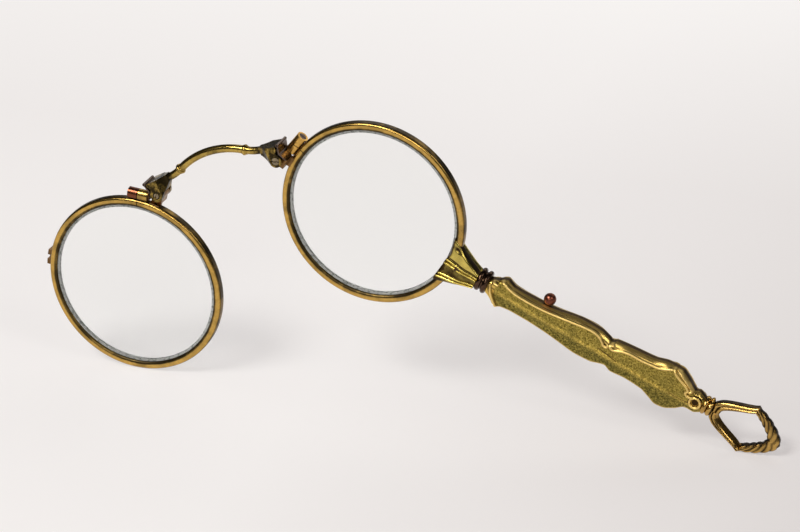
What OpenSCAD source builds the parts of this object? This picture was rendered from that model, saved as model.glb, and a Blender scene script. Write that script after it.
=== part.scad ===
// Folding lorgnette: two round lenses joined by a hinged, sprung bridge.
// The right lens carries a stamped handle with a release slide and a ribbon loop.
// The left lens folds over the front of the right one, where the slide's hook holds it.
// It is drawn open and standing, as it stands on the left rim and the ribbon loop.

/* [Rims and glass] */
// Outside diameter of each rim
rim_d = 39.6; // [36:0.1:44]
// Width of a rim's band, seen from the front
rim_band = 1.7; // [1.5:0.1:2.2]
// Depth of a rim from front to back
rim_depth = 2.2; // [1.8:0.1:2.6]
// Rounding of a rim's edges
rim_round = 0.6; // [0.3:0.05:0.7]
// Distance between the lens centres when open
lens_spacing = 57.5; // [56:0.5:59]
// Free space between the two rims when folded
fold_gap = 1.3; // [1.1:0.1:1.8]
// Thickness of the glass at its edge
glass_edge = 1.0; // [0.8:0.1:1.3]
// Bulge of each face of the glass at its centre
glass_crown = 0.4; // [0.2:0.05:0.5]
// Depth of the groove that holds the glass
groove_depth = 0.5; // [0.3:0.05:0.7]

/* [Closing barrels] */
// Angle of the rim's split above the line through the lens centres
closing_angle = 61.5; // [60.5:0.5:66]
// Radius of the closing barrel
barrel_r = 1.2; // [1:0.05:1.3]
// Length of the closing barrel, both halves
barrel_len = 4.4; // [3.6:0.1:4.6]
// Width of the rim's split
split_gap = 0.18; // [0.1:0.02:0.4]
// Radius of the closing screw
closing_screw_r = 0.5; // [0.4:0.05:0.6]

/* [Hinges] */
// Angle of a hinge above the line through the lens centres
pivot_angle = 50.6; // [48:0.2:51]
// Distance of the hinge axis outside the rim
pivot_out = 2.2; // [2.1:0.05:2.6]
// Radius of the hinge eyes
eye_r = 1.35; // [1.1:0.05:1.45]
// Width of the lug on the rim
lug_w = 2.8; // [2.4:0.1:3.2]
// Thickness of each cheek of the bridge's fork
cheek_t = 0.9; // [0.7:0.05:1.1]
// Radius of the hinge screw's shank
hinge_pin_r = 0.55; // [0.45:0.05:0.65]
// Radial clearance of the lug on the hinge screw
hinge_clear = 0.05; // [0.02:0.01:0.09]
// Thickness of the leaf spring at a hinge
leaf_t = 0.25; // [0.2:0.01:0.3]

/* [Bridge] */
// Radius of the bridge's round bar
bridge_r = 0.85; // [0.7:0.05:1]
// Height of the bridge's crown above the hinge axes
bridge_rise = 5.4; // [5:0.1:6.5]
// Half the distance between the two beads
bead_x = 8; // [7:0.1:8.6]
// Height of the beads above the hinge axes
bead_rise = 3.55; // [3.2:0.05:4]
// Radius of the beads
bead_r = 1.15; // [1:0.05:1.3]

/* [Handle] */
// Direction of the handle below the line through the lens centres
handle_angle = 46.5; // [45:0.1:50]
// Distance of the handle's middle line below the right lens's centre, negative
handle_offset = -1.3; // [-1.6:0.1:0]
// Depth of the handle's side wall, one shell
shell_wall_h = 1.2; // [1:0.05:1.4]
// Height of the border roll above the seam
shell_roll_h = 1.8; // [1.6:0.05:2]
// Height of the panel's middle ridge above the seam
shell_ridge_h = 1.75; // [1.5:0.05:2]
// Thickness of the stamped sheet
shell_t = 0.5; // [0.35:0.05:0.6]
// Radius of the neck collar's beads
neck_r = 2.5; // [2.2:0.05:2.7]
// Radius of the end collar's bead
end_r = 2; // [1.7:0.05:2.2]

/* [Catch and release] */
// Travel of the release slide
slide_travel = 2; // [1.5:0.1:2.4]
// Width of the slide bar
slide_w = 1.5; // [1.2:0.1:1.6]
// Thickness of the slide bar
slide_t = 0.7; // [0.5:0.05:0.8]
// Clearance round the slide in its guides
slide_clear = 0.06; // [0.04:0.01:0.1]
// Radius of the release knob
knob_r = 1.27; // [1:0.05:1.6]
// Length of the catch nib along the rim
nib_len = 3.4; // [2.8:0.1:4]
// Height of the catch nib outside the rim
nib_out = 0.75; // [0.6:0.05:0.9]
// Turns of the catch spring
spring_turns = 7; // [5:1:9]
// Radius of the catch spring's wire
spring_wire_r = 0.14; // [0.1:0.01:0.18]

/* [Ribbon loop] */
// Depth of the loop from front to back
loop_depth = 2; // [1.6:0.1:2.4]

/* [Hidden] */
$fn = 64;

gilt = "goldenrod";
dull_gilt = "darkgoldenrod";
copper = "sienna";
steel = "silver";
clear_glass = [0.85, 0.93, 0.95, 0.35];

// Thickness of the solder film between pieces that are soldered together
solder = 0.02;
// Small overlap that keeps a cut or a joined shape clean
eps = 0.05;

rim_r = rim_d / 2;
rim_in_r = rim_r - rim_band;
glass_fit = 0.04;
glass_r = rim_in_r + groove_depth - glass_fit;
layer = rim_depth + fold_gap;

// The hinge axes lie on one circle round each lens, so that the folded lenses are concentric
pivot_r = rim_r + pivot_out;
pivot_x = pivot_r * cos(pivot_angle);
pivot_y = pivot_r * sin(pivot_angle);
half_span = lens_spacing / 2 - pivot_x;
fold_angle = 90 - pivot_angle + asin(half_span / pivot_r);
cheek_gap = 0.05;
fork_w = lug_w + 2 * (cheek_gap + cheek_t);
screw_head_r = eye_r - 0.5;
screw_head_t = 0.35;
slot_w = 0.24;
slot_d = 0.16;

// Places along the handle, measured from the right lens's centre
neck_a0 = rim_r + 5.2;
neck_a1 = neck_a0 + 2.5;
shell_a0 = neck_a1;
shell_a1 = shell_a0 + 49.2;
loop_a0 = shell_a1 + 1.9;
knob_a = shell_a0 + 12.4;
guide_a = shell_a0 + 4.2;
spring_a0 = knob_a + 3.8;
spring_a1 = spring_a0 + 5.4;
hook_a = rim_r + 0.3;
hook_len = 1;
hook_w = 0.8;
// The hook stands off the slide's middle line, flush with one edge of the bar
hook_b = slide_w / 2 - hook_w / 2;
hook_angle = handle_angle - atan2(handle_offset + hook_b, rim_r + 0.5);
// Height of the hook's top and of the nib's underside above the right rim's middle plane
hook_top = layer - rim_depth / 2 - 0.15;
nib_under = hook_top - 0.4;

// Turns a direction in the lens plane into a point at a distance along it
function polar(r, angle) = [r * cos(angle), r * sin(angle)];

// One point of a smooth curve through four stations, at t from 0 to 1 between the middle two
function bend(p, q, r, s, t) =
    0.5 * (2 * q + (r - p) * t + (2 * p - 5 * q + 4 * r - s) * t * t
        + (3 * q - p - 3 * r + s) * t * t * t);

// A smooth curve through a list of stations, with a few points in each stretch
function curve(stations, steps = 4) =
    let (last = len(stations) - 1)
    [for (i = [0 : last - 1], k = [0 : steps - 1])
        bend(stations[max(i - 1, 0)], stations[i], stations[i + 1],
            stations[min(i + 2, last)], k / steps)];

// The half width of the handle in four curved stretches that meet at cusps.
// Each station is a distance along the handle from the shell's start, and a half width.
neck_scroll = [[0, 1.5], [1.4, 2.1], [2.6, 2.9], [3.3, 3.15], [4.1, 2.7]];
waist_scroll = [[4.3, 2.65], [5.5, 2.4], [7.5, 2.35], [11, 2.45], [14.5, 2.7], [17.8, 3.25], [21.3, 3.7],
    [24.5, 3.5], [26.5, 2.9], [27.4, 2.6]];
belly_scroll = [[27.6, 2.6], [29, 3.2], [32.6, 3.3], [36.5, 3.6], [39, 4.35], [40.6, 4.85]];
tail_scroll = [[40.8, 4.85], [42.4, 4.6], [44.4, 3.55], [46.1, 2.25], [46.8, 2.05], [47.7, 2.2], [49.2, 1.5]];
handle_side = concat(curve(neck_scroll), curve(waist_scroll), curve(belly_scroll),
    curve(tail_scroll), [[49.2, 1.5]]);

// The ribbon loop's outer and inner half widths, from the loop's start
loop_bar = [[0, 1.5], [0.4, 2.1], [1.3, 2.85], [3.1, 3.7], [5.7, 4.65], [8.1, 5.8]];
loop_rope = [[8.1, 5.8], [10.1, 4.9], [12.1, 3.8], [14, 2.3], [15.2, 0.8], [15.4, 0]];
loop_eye_bar = [[1.8, 0], [2.2, 1], [3.4, 1.75], [5.4, 2.75], [8.2, 4.1]];
loop_eye_rope = [[8.2, 4.1], [9.4, 3.3], [10.5, 2.3], [11.6, 1.35], [12.3, 0.5], [12.4, 0]];
loop_tip = loop_bar[5];

// The nib sits where it meets the hook when both hinges are fully folded
nib_angle = 360 - hook_angle - 2 * fold_angle;

// The lean of the whole object: the left rim and the loop's lower tip touch the table
tip_low = handle_offset - loop_tip[1];
tip_at = [
    (loop_a0 + loop_tip[0]) * cos(handle_angle) + tip_low * sin(handle_angle) + lens_spacing,
    -(loop_a0 + loop_tip[0]) * sin(handle_angle) + tip_low * cos(handle_angle)
];
lean = -atan2(tip_at[1], tip_at[0]) - asin(rim_r / norm(tip_at));
stand_z = rim_r + lens_spacing * sin(lean);
stand_left = -lens_spacing * cos(lean) - (rim_r + nib_out) * cos(180 - nib_angle - lean);
stand_right = (loop_a0 + loop_rope[3][0]) * cos(handle_angle - lean)
    + (handle_offset + loop_rope[3][1]) * sin(handle_angle - lean);
stand_front = layer + barrel_r;
stand_back = -neck_r;

// Stands the lens plane upright on the table, with the box's middle over the origin
module stand() {
    translate([-(stand_left + stand_right) / 2, (stand_front + stand_back) / 2, stand_z])
        rotate([90, 0, 0])
            rotate([0, 0, lean])
                children();
}

// The left lens is the right one turned half round, one layer forward
module on_left() {
    translate([-lens_spacing, 0, layer])
        rotate([0, 180, 0])
            children();
}

// The bridge's own frame: its middle, at the height of the hinge axes
module at_bridge() {
    translate([-lens_spacing / 2, pivot_y, layer / 2])
        children();
}

// Both ends of the bridge, each the other turned half round
module both_ends() {
    for (turn = [0, 180])
        rotate([0, turn, 0])
            children();
}

// The handle's frame: X along the handle, Y across it, Z to the front
module along_handle() {
    rotate([0, 0, -handle_angle])
        translate([0, handle_offset, 0])
            children();
}

// The closing barrel's frame: Z along the barrel, towards the hinge
module at_closing() {
    rotate([0, 0, 180 - closing_angle])
        translate([rim_r + barrel_r - 0.15, 0, 0])
            rotate([-90, 0, 0])
                children();
}

// The hinge's frame on the right rim: X towards the lens's centre
module at_pivot() {
    translate([-pivot_x, pivot_y, 0])
        rotate([0, 0, -pivot_angle])
            children();
}

// Section of the rim: a band with rounded edges
module rim_section(grow = 0) {
    r = rim_round + grow;
    half = rim_depth / 2 + grow;
    low = rim_in_r - grow;
    high = rim_r + grow;
    translate([low + r, -half])
        square([high - low - 2 * r, 2 * half]);
    translate([low, r - half])
        square([high - low, 2 * (half - r)]);
    for (x = [low + r, high - r], y = [r - half, half - r])
        translate([x, y])
            circle(r);
}

// A whole ring of the rim's section, for cutting what is soldered to it
module rim_blank(grow = 0) {
    rotate_extrude()
        rim_section(grow);
}

module rim() {
    difference() {
        rotate_extrude()
            difference() {
                rim_section();
                translate([rim_in_r - 1, -glass_edge / 2 - glass_fit])
                    square([1 + groove_depth, glass_edge + 2 * glass_fit]);
            }
        rotate([0, 0, 180 - closing_angle])
            translate([rim_in_r - 1, -split_gap / 2, -rim_depth])
                cube([rim_band + 2, split_gap, 2 * rim_depth]);
    }
}

// A thin reading lens, bulging a little on both faces
module lens() {
    steps = 10;
    front = [for (i = [0 : steps])
        let (r = glass_r * i / steps)
        [r, glass_edge / 2 + glass_crown * (1 - pow(i / steps, 2))]];
    back = [for (i = [steps : -1 : 0]) [front[i][0], -front[i][1]]];
    color(clear_glass)
        rotate_extrude()
            polygon(concat(front, back));
}

// Two short tubes beside the rim's split, with a seat for the screw's head
module closing_barrels() {
    half = (barrel_len - split_gap) / 2;
    difference() {
        at_closing()
            difference() {
                for (z = [-barrel_len / 2, split_gap / 2])
                    translate([0, 0, z])
                        cylinder(r = barrel_r, h = half);
                translate([0, 0, -barrel_len])
                    cylinder(r = closing_screw_r + 0.02, h = 2 * barrel_len);
                translate([0, 0, -barrel_len / 2 - eps])
                    cylinder(r = barrel_r - 0.38, h = screw_head_t + eps);
            }
        rim_blank(solder);
    }
}

module closing_screw() {
    at_closing()
        translate([0, 0, -barrel_len / 2])
            difference() {
                union() {
                    translate([0, 0, 0.02])
                        cylinder(r = barrel_r - 0.4, h = screw_head_t - 0.04);
                    translate([0, 0, 0.02])
                        cylinder(r = closing_screw_r, h = barrel_len - 0.1);
                }
                translate([-barrel_r, -slot_w / 2, -1])
                    cube([2 * barrel_r, slot_w, 1 + slot_d]);
            }
}

// The lug on the rim: a knuckle between the bridge's cheeks, a neck, and a heel on the rim
module hinge_lug() {
    low = layer / 2 - lug_w / 2;
    neck_w = 2.2;
    difference() {
        union() {
            at_pivot() {
                translate([0, 0, low])
                    linear_extrude(lug_w)
                        union() {
                            circle(eye_r);
                            translate([0, -neck_w / 2])
                                square([pivot_out - 0.3, neck_w]);
                        }
                translate([0, -neck_w / 2, low])
                    cube([pivot_out + rim_round, neck_w, rim_depth / 2 - low]);
                translate([pivot_out - 0.2, -neck_w / 2, 0.4 - rim_depth / 2])
                    cube([rim_round + 0.2, neck_w, rim_depth - 0.5]);
            }
        }
        rim_blank(solder);
        at_pivot()
            translate([0, 0, -rim_depth])
                cylinder(r = hinge_pin_r + hinge_clear, h = 3 * layer);
    }
}

// A slotted screw through both cheeks and the lug, with its head let into one cheek
module hinge_screw() {
    translate([half_span, 0, 0])
        difference() {
            union() {
                translate([0, 0, -fork_w / 2])
                    cylinder(r = hinge_pin_r, h = fork_w - 0.1);
                translate([0, 0, fork_w / 2 - screw_head_t])
                    cylinder(r = screw_head_r, h = screw_head_t - 0.02);
            }
            rotate([0, 0, 28])
                translate([-eye_r, -slot_w / 2, fork_w / 2 - slot_d])
                    cube([2 * eye_r, slot_w, 1]);
        }
}

// A strip of spring steel: it stands between the barrel and the fork, and curls at its end
module leaf_spring() {
    foot = barrel_len / 2 + 0.04 + leaf_t / 2;
    top = rim_r + 2 * barrel_r - 0.1;
    path = [[rim_r + 0.35, foot], [top, foot], [top + 0.75, foot - 0.76], [top + 1.1, foot - 1.05]];
    curl_r = 0.34;
    rotate([0, 0, 180 - closing_angle])
        translate([0, 0, layer / 2 - fork_w / 2 + 0.15])
            linear_extrude(fork_w - 0.3) {
                for (i = [0 : len(path) - 2])
                    let (step = path[i + 1] - path[i])
                    translate(path[i])
                        rotate(atan2(step[1], step[0]))
                            translate([0, -leaf_t / 2])
                                square([norm(step), leaf_t]);
                for (i = [1 : len(path) - 2])
                    translate(path[i])
                        circle(leaf_t / 2);
                translate(path[3] + [curl_r - leaf_t / 2, -leaf_t / 2])
                    difference() {
                        circle(curl_r);
                        circle(curl_r - leaf_t * 0.7);
                    }
            }
}

// A stretch of round bar along an arc of the lens plane
module arc_bar(centre, radius, from, to, bar_r) {
    translate([centre[0], centre[1], 0])
        rotate([0, 0, from])
            rotate_extrude(angle = to - from, $fn = 96)
                translate([radius, 0])
                    circle(bar_r, $fn = 48);
}

// Outline of the fork seen from the front: the top plate, the cheek and its eye
module fork_side() {
    union() {
        circle(eye_r);
        polygon([[plate_end, plate_top], [neck_x, neck_y + neck_h / 2], [neck_x, neck_y - neck_h / 2],
            [-eye_r * 0.9, -eye_r * 0.44], [0, 0], [eye_r * 0.63, eye_r * 0.74],
            [0.66, 1.5], [plate_end, plate_top - plate_t]]);
    }
}

// Outline of the fork seen from above: a fishtail that spreads to the fork's full width
module fork_plan() {
    steps = 8;
    flare_end = -eye_r + 0.1;
    side = [for (i = [0 : steps])
        let (t = i / steps)
        [neck_x + (flare_end - neck_x) * t, bridge_r + (fork_w / 2 - bridge_r) * pow(t, 1.7)]];
    far = [for (i = [steps : -1 : 0]) [side[i][0], -side[i][1]]];
    polygon(concat(side, [[plate_end + 1, fork_w / 2], [plate_end + 1, -fork_w / 2]], far));
}

plate_end = 1.14;
plate_top = 2.95;
plate_t = 0.6;
arch_r = (pow(bead_x, 2) + pow(bridge_rise - bead_rise, 2)) / (2 * (bridge_rise - bead_rise));
arch_half = asin(bead_x / arch_r);
arm_r = 9.8;
arm_centre = [bead_x, bead_rise] + arm_r * [sin(arch_half), cos(arch_half)];
arm_end = arch_half - 21;
neck_h = 1.66;
neck_x = arm_centre[0] - arm_r * sin(arm_end) - half_span;
neck_y = arm_centre[1] - arm_r * cos(arm_end);

module fork() {
    translate([half_span, 0, 0])
        difference() {
            intersection() {
                translate([0, 0, -fork_w / 2])
                    linear_extrude(fork_w)
                        fork_side();
                translate([0, 5, 0])
                    rotate([90, 0, 0])
                        linear_extrude(10)
                            fork_plan();
            }
            translate([0, 0, -lug_w / 2 - cheek_gap])
                cylinder(r = eye_r + 0.75, h = lug_w + 2 * cheek_gap);
            translate([0, -4, -lug_w / 2 - cheek_gap])
                cube([4, 4 + plate_top - plate_t, lug_w + 2 * cheek_gap]);
            cylinder(r = hinge_pin_r + 0.02, h = 2 * fork_w, center = true);
            translate([0, 0, fork_w / 2 - screw_head_t - 0.02])
                cylinder(r = screw_head_r + 0.03, h = 1);
        }
}

// A turned bead round the bridge's bar
module bead() {
    translate([bead_x, bead_rise, 0])
        rotate([0, 90, -arch_half])
            rotate_extrude()
                union() {
                    translate([bead_r - 0.42, 0])
                        circle(0.42, $fn = 32);
                    for (y = [-0.5, 0.5])
                        translate([0.4, y - 0.09])
                            square([bridge_r - 0.32, 0.18]);
                }
}

module bridge() {
    color(gilt)
        at_bridge() {
            arc_bar([0, bridge_rise - arch_r], arch_r, 90 - arch_half, 90 + arch_half, bridge_r);
            both_ends() {
                arc_bar(arm_centre, arm_r, 269.5 - arch_half, 270.5 - arm_end, bridge_r - 0.05);
                bead();
                fork();
            }
        }
}

// The nib on the left rim: a thin saddle with two teeth, and a notch for the slide's hook
module catch_nib() {
    height = layer + 0.6 - nib_under;
    color(dull_gilt)
        translate([-lens_spacing, 0, nib_under])
            rotate([0, 0, nib_angle])
                difference() {
                    intersection() {
                        cylinder(r = rim_r + nib_out, h = height, $fn = 180);
                        translate([rim_in_r, -nib_len / 2, -1])
                            cube([rim_band + 2, nib_len, height + 2]);
                    }
                    translate([0, 0, -1])
                        cylinder(r = rim_r + solder, h = height + 2, $fn = 180);
                    translate([rim_r + 0.2, -hook_w / 2 - 0.1, -1])
                        cube([2, hook_w + 0.2, height + 2]);
                }
}

// Half width of the fan at a distance along the handle
function fan_half(a) = 1.6 + 3.75 * pow(max(0, (neck_a0 - a) / (neck_a0 - rim_r + rim_band)), 1.1);

// The fan that grips the right rim: fluted in front, with a smooth upper facet
module ferrule() {
    steps = 10;
    fan_a0 = rim_in_r + 0.3;
    cover = 0.3;
    upper = [for (i = [0 : steps])
        let (a = fan_a0 - 1 + (neck_a0 - fan_a0 + 1) * i / steps)
        [a, fan_half(a)]];
    lower = [for (i = [steps : -1 : 0]) [upper[i][0], -upper[i][1]]];
    face = rim_depth / 2 + cover;
    neck_half = 1.9;
    color(gilt)
        difference() {
            along_handle()
                difference() {
                    union() {
                        intersection() {
                            translate([0, 0, -5])
                                linear_extrude(10)
                                    difference() {
                                        polygon(concat(upper, lower));
                                        translate([0, -handle_offset])
                                            circle(fan_a0);
                                    }
                            rotate([90, 0, 0])
                                translate([0, 0, -10])
                                    linear_extrude(20)
                                        polygon([[fan_a0 - 2, -face], [rim_r + 2, -face],
                                            [neck_a0, -neck_half], [neck_a0, neck_half],
                                            [rim_r + 2, face], [fan_a0 - 2, face]]);
                        }
                        flutes(fan_a0);
                    }
                    // Channel of the slide bar, open towards the handle
                    translate([rim_r + 0.12, -slide_w / 2 - slide_clear, -slide_t / 2 - slide_clear])
                        cube([neck_a0 - rim_r, slide_w + 2 * slide_clear, slide_t + 2 * slide_clear]);
                    // Window in front, in which the hook travels
                    translate([rim_r + 0.12, hook_b - hook_w / 2 - 0.1, 0])
                        cube([hook_len + slide_travel + 0.4, hook_w + 0.2, 5]);
                }
            rim_blank(solder);
        }
}

// Two pairs of tapering ribs on the front of the fan
module flutes(fan_a0) {
    rib_r = 0.36;
    start_n = rim_depth / 2 + 0.15;
    end_n = 1.6;
    for (b = [-2.85, -2.15, -0.55, 1.25]) {
        from = [sqrt(pow(fan_a0, 2) - pow(b + handle_offset, 2)) + 0.02, b, start_n];
        to = [neck_a0, b * 0.55 + 0.1, end_n];
        step = to - from;
        translate(from)
            rotate([0, 0, atan2(step[1], step[0])])
                rotate([0, acos(step[2] / norm(step)), 0])
                    cylinder(r1 = rib_r, r2 = rib_r * 0.75, h = norm(step));
    }
}

// A turned collar of two beads, bored for the slide
module neck_collar() {
    bead = 0.55;
    len = neck_a1 - neck_a0;
    color(dull_gilt)
        along_handle()
            translate([neck_a0 + solder, 0, 0])
                rotate([0, 90, 0])
                    difference() {
                        rotate_extrude()
                            union() {
                                square([neck_r - bead, len - 2 * solder]);
                                for (y = [bead, len - 2 * solder - bead])
                                    translate([neck_r - bead, y])
                                        circle(bead, $fn = 32);
                            }
                        translate([0, 0, -1])
                            cylinder(r = 1.15, h = len + 2);
                    }
}

// The handle's outline in its own plane, moved inwards by an inset
module handle_outline(inset = 0) {
    upper = [for (p = handle_side) [shell_a0 + p[0], max(p[1] - inset, 0.1)]];
    lower = [for (i = [len(upper) - 1 : -1 : 0]) [upper[i][0], -upper[i][1]]];
    intersection() {
        polygon(concat(upper, lower));
        translate([shell_a0 + inset, -10])
            square([shell_a1 - shell_a0 - 2 * inset, 20]);
    }
}

// A stamped shell: side wall, rolled border, sunk panel with a ridge, hollow inside
module shell() {
    border = 0.95;
    panel_h = shell_ridge_h - 0.35;
    difference() {
        union() {
            linear_extrude(shell_wall_h)
                handle_outline();
            translate([0, 0, shell_wall_h - eps])
                linear_extrude(0.3 + eps)
                    handle_outline(0.12);
            difference() {
                linear_extrude(shell_roll_h)
                    handle_outline(0.3);
                translate([0, 0, shell_wall_h])
                    linear_extrude(2)
                        handle_outline(border);
            }
            intersection() {
                linear_extrude(3)
                    handle_outline(border - 0.1);
                translate([shell_a0, 0, 0])
                    rotate([90, 0, 90])
                        linear_extrude(shell_a1 - shell_a0)
                            polygon([[-6, 0], [6, 0], [6, panel_h - 0.35], [0.3, shell_ridge_h],
                                [-0.3, shell_ridge_h], [-6, panel_h - 0.35]]);
            }
        }
        // The hollow
        translate([0, 0, -eps])
            linear_extrude(shell_wall_h - 0.1 + eps)
                handle_outline(shell_t);
        // The way in for the slide bar at the neck
        translate([shell_a0 - 1, -slide_w / 2 - 0.2, -1])
            cube([2, slide_w + 0.4, 1 + slide_t / 2 + 0.2]);
        // A shallow track under the knob, and half of the slot for its stem
        translate([knob_a - knob_r - 0.4, ball_b, 0])
            rotate([0, 90, 0])
                cylinder(r = knob_r + 0.12, h = 2 * knob_r + 0.8 + slide_travel);
        translate([knob_a - 0.6, 0, -1])
            cube([slide_travel + 1.2, 8, 1.5]);
    }
}

module handle_front_shell() {
    color(gilt)
        along_handle()
            translate([0, 0, solder / 2])
                shell();
}

module handle_back_shell() {
    color(gilt)
        along_handle()
            translate([0, 0, -solder / 2])
                mirror([0, 0, 1])
                    shell();
}

// A front guide for the bar and a rear guide that is also the spring's seat
module slide_guides() {
    half_h = shell_wall_h - 0.16;
    front_half = 1.55;
    rear_half = 2.7;
    color(dull_gilt)
        along_handle() {
            difference() {
                translate([guide_a, -front_half, -half_h])
                    cube([1.5, 2 * front_half, 2 * half_h]);
                translate([guide_a - 1, -slide_w / 2 - slide_clear, -slide_t / 2 - slide_clear])
                    cube([4, slide_w + 2 * slide_clear, slide_t + 2 * slide_clear]);
            }
            difference() {
                translate([spring_a1, -rear_half, -half_h])
                    cube([0.9, 2 * rear_half, 2 * half_h]);
                translate([spring_a1 - 1, 0, 0])
                    rotate([0, 90, 0])
                        cylinder(r = tail_r + 0.05, h = 4);
            }
        }
}

tail_r = 0.45;
stem_r = 0.4;
// Distance of the knob's middle from the handle's middle line
ball_b = 3.75;

// The slide: a hook in front, a flat bar, a boss for the knob and a round tail
module release_slide() {
    boss_half = 0.95;
    boss_top = 1.3;
    color(steel)
        along_handle()
            difference() {
                union() {
                    translate([hook_a + hook_len - eps, -slide_w / 2, -slide_t / 2])
                        cube([spring_a0 - hook_a - hook_len + eps, slide_w, slide_t]);
                    translate([hook_a, hook_b - hook_w / 2, -slide_t / 2])
                        cube([hook_len, hook_w, hook_top + slide_t / 2]);
                    translate([knob_a - boss_half, 0, -slide_t / 2])
                        cube([2 * boss_half, boss_top, slide_t]);
                    translate([spring_a0 - eps, 0, 0])
                        rotate([0, 90, 0])
                            cylinder(r = tail_r, h = spring_a1 - spring_a0 + 1.4);
                }
                // The knob's stem goes in here
                translate([knob_a, boss_top + 1, 0])
                    rotate([90, 0, 0])
                        cylinder(r = stem_r * 0.7 + 0.01, h = 2);
            }
}

// The knob: a ball on a stem that stands out through the handle's upper wall
module release_knob() {
    boss_top = 1.3;
    color(copper)
        along_handle()
            translate([knob_a, 0, 0]) {
                translate([0, ball_b, 0])
                    sphere(knob_r);
                translate([0, ball_b, 0])
                    rotate([90, 0, 0])
                        cylinder(r = stem_r, h = ball_b - boss_top - 0.01);
                translate([0, ball_b, 0])
                    rotate([90, 0, 0])
                        cylinder(r = stem_r * 0.7, h = ball_b - boss_top + 0.8);
            }
}

// The catch spring: a coil of round wire on the slide's tail
module catch_spring() {
    sides = 6;
    turn_steps = 16;
    coil_r = tail_r + 0.2 + spring_wire_r;
    rings = spring_turns * turn_steps;
    length = spring_a1 - spring_a0 - 2 * spring_wire_r - 0.04;
    points = [for (i = [0 : rings], k = [0 : sides - 1])
        let (turn = 360 * i / turn_steps, side = 360 * k / sides, r = coil_r + spring_wire_r * cos(side))
        [length * i / rings + spring_wire_r * sin(side), r * cos(turn), r * sin(turn)]];
    walls = [for (i = [0 : rings - 1], k = [0 : sides - 1])
        let (next = (k + 1) % sides)
        each [
            [i * sides + k, i * sides + next, (i + 1) * sides + next],
            [i * sides + k, (i + 1) * sides + next, (i + 1) * sides + k]
        ]];
    start = [[for (k = [sides - 1 : -1 : 0]) k]];
    end = [[for (k = [0 : sides - 1]) rings * sides + k]];
    color(steel)
        along_handle()
            translate([spring_a0 + spring_wire_r + 0.02, 0, 0])
                polyhedron(points, concat(walls, start, end));
}

// The turned collar between the handle and the ribbon loop
module end_collar() {
    len = loop_a0 - shell_a1;
    color(dull_gilt)
        along_handle()
            translate([shell_a1 + solder, 0, 0])
                rotate([0, 90, 0])
                    rotate_extrude()
                        union() {
                            square([1.25, len - 2 * solder]);
                            for (y = [0.5, len - 2 * solder - 0.5]) {
                                translate([0, y - 0.2])
                                    square([end_r - 0.32, 0.4]);
                                translate([end_r - 0.32, y])
                                    circle(0.32, $fn = 32);
                            }
                        }
}

// A half-width list as a closed outline, moved inwards or outwards by an inset
module loop_outline(side, inset = 0) {
    upper = [for (p = side) [loop_a0 + p[0], max(p[1] - inset, 0.06)]];
    lower = [for (i = [len(upper) - 1 : -1 : 0]) [upper[i][0], -upper[i][1]]];
    polygon(concat(upper, lower));
}

module ribbon_loop() {
    outer = concat(curve(loop_bar), curve(loop_rope), [loop_rope[5]]);
    eye = concat(curve(loop_eye_bar), curve(loop_eye_rope), [loop_eye_rope[5]]);
    color(gilt)
        along_handle()
            difference() {
                union() {
                    translate([0, 0, -loop_depth / 2 + 0.3])
                        linear_extrude(loop_depth - 0.6)
                            loop_outline(outer);
                    translate([0, 0, -loop_depth / 2])
                        linear_extrude(loop_depth)
                            loop_outline(outer, 0.3);
                }
                translate([0, 0, -5])
                    linear_extrude(10)
                        loop_outline(eye);
            }
}

stand() color(gilt) rim();  // right_rim
stand() color(gilt) on_left() rim();  // left_rim
stand() lens();  // right_lens
stand() on_left() lens();  // left_lens
stand() color(gilt) closing_barrels();  // right_closing_barrels
stand() color(copper) on_left() closing_barrels();  // left_closing_barrels
stand() color(steel) closing_screw();  // right_closing_screw
stand() color(steel) on_left() closing_screw();  // left_closing_screw
stand() color(dull_gilt) hinge_lug();  // right_hinge_lug
stand() color(dull_gilt) on_left() hinge_lug();  // left_hinge_lug
stand() color(steel) at_bridge() hinge_screw();  // right_hinge_screw
stand() color(steel) at_bridge() rotate([0, 180, 0]) hinge_screw();  // left_hinge_screw
stand() color(steel) leaf_spring();  // right_leaf_spring
stand() color(steel) on_left() leaf_spring();  // left_leaf_spring
stand() bridge();
stand() catch_nib();
stand() ferrule();
stand() neck_collar();
stand() handle_front_shell();
stand() handle_back_shell();
stand() slide_guides();
stand() release_slide();
stand() release_knob();
stand() catch_spring();
stand() end_collar();
stand() ribbon_loop();
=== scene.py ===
# %% [markdown]
# # A folding lorgnette, dressed in old gilding
#
# A lorgnette is a pair of spectacles that is held up by a handle. This one folds: a sprung bridge
# joins the two rims, and the left lens swings over the front of the right one. The solids come from
# the CAD model, which is loaded here as a fixed frame. Blender adds what a machinist's drawing
# leaves out: the stamped scrolls of the handle, the ribs of the fan, the twisted ribbon loop,
# the ground edge of the glass, and sixty years of wear on the gold.

# %% The tools and the frame
import math

import bmesh
import bpy
import numpy as np
from mathutils import Matrix, Vector


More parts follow.
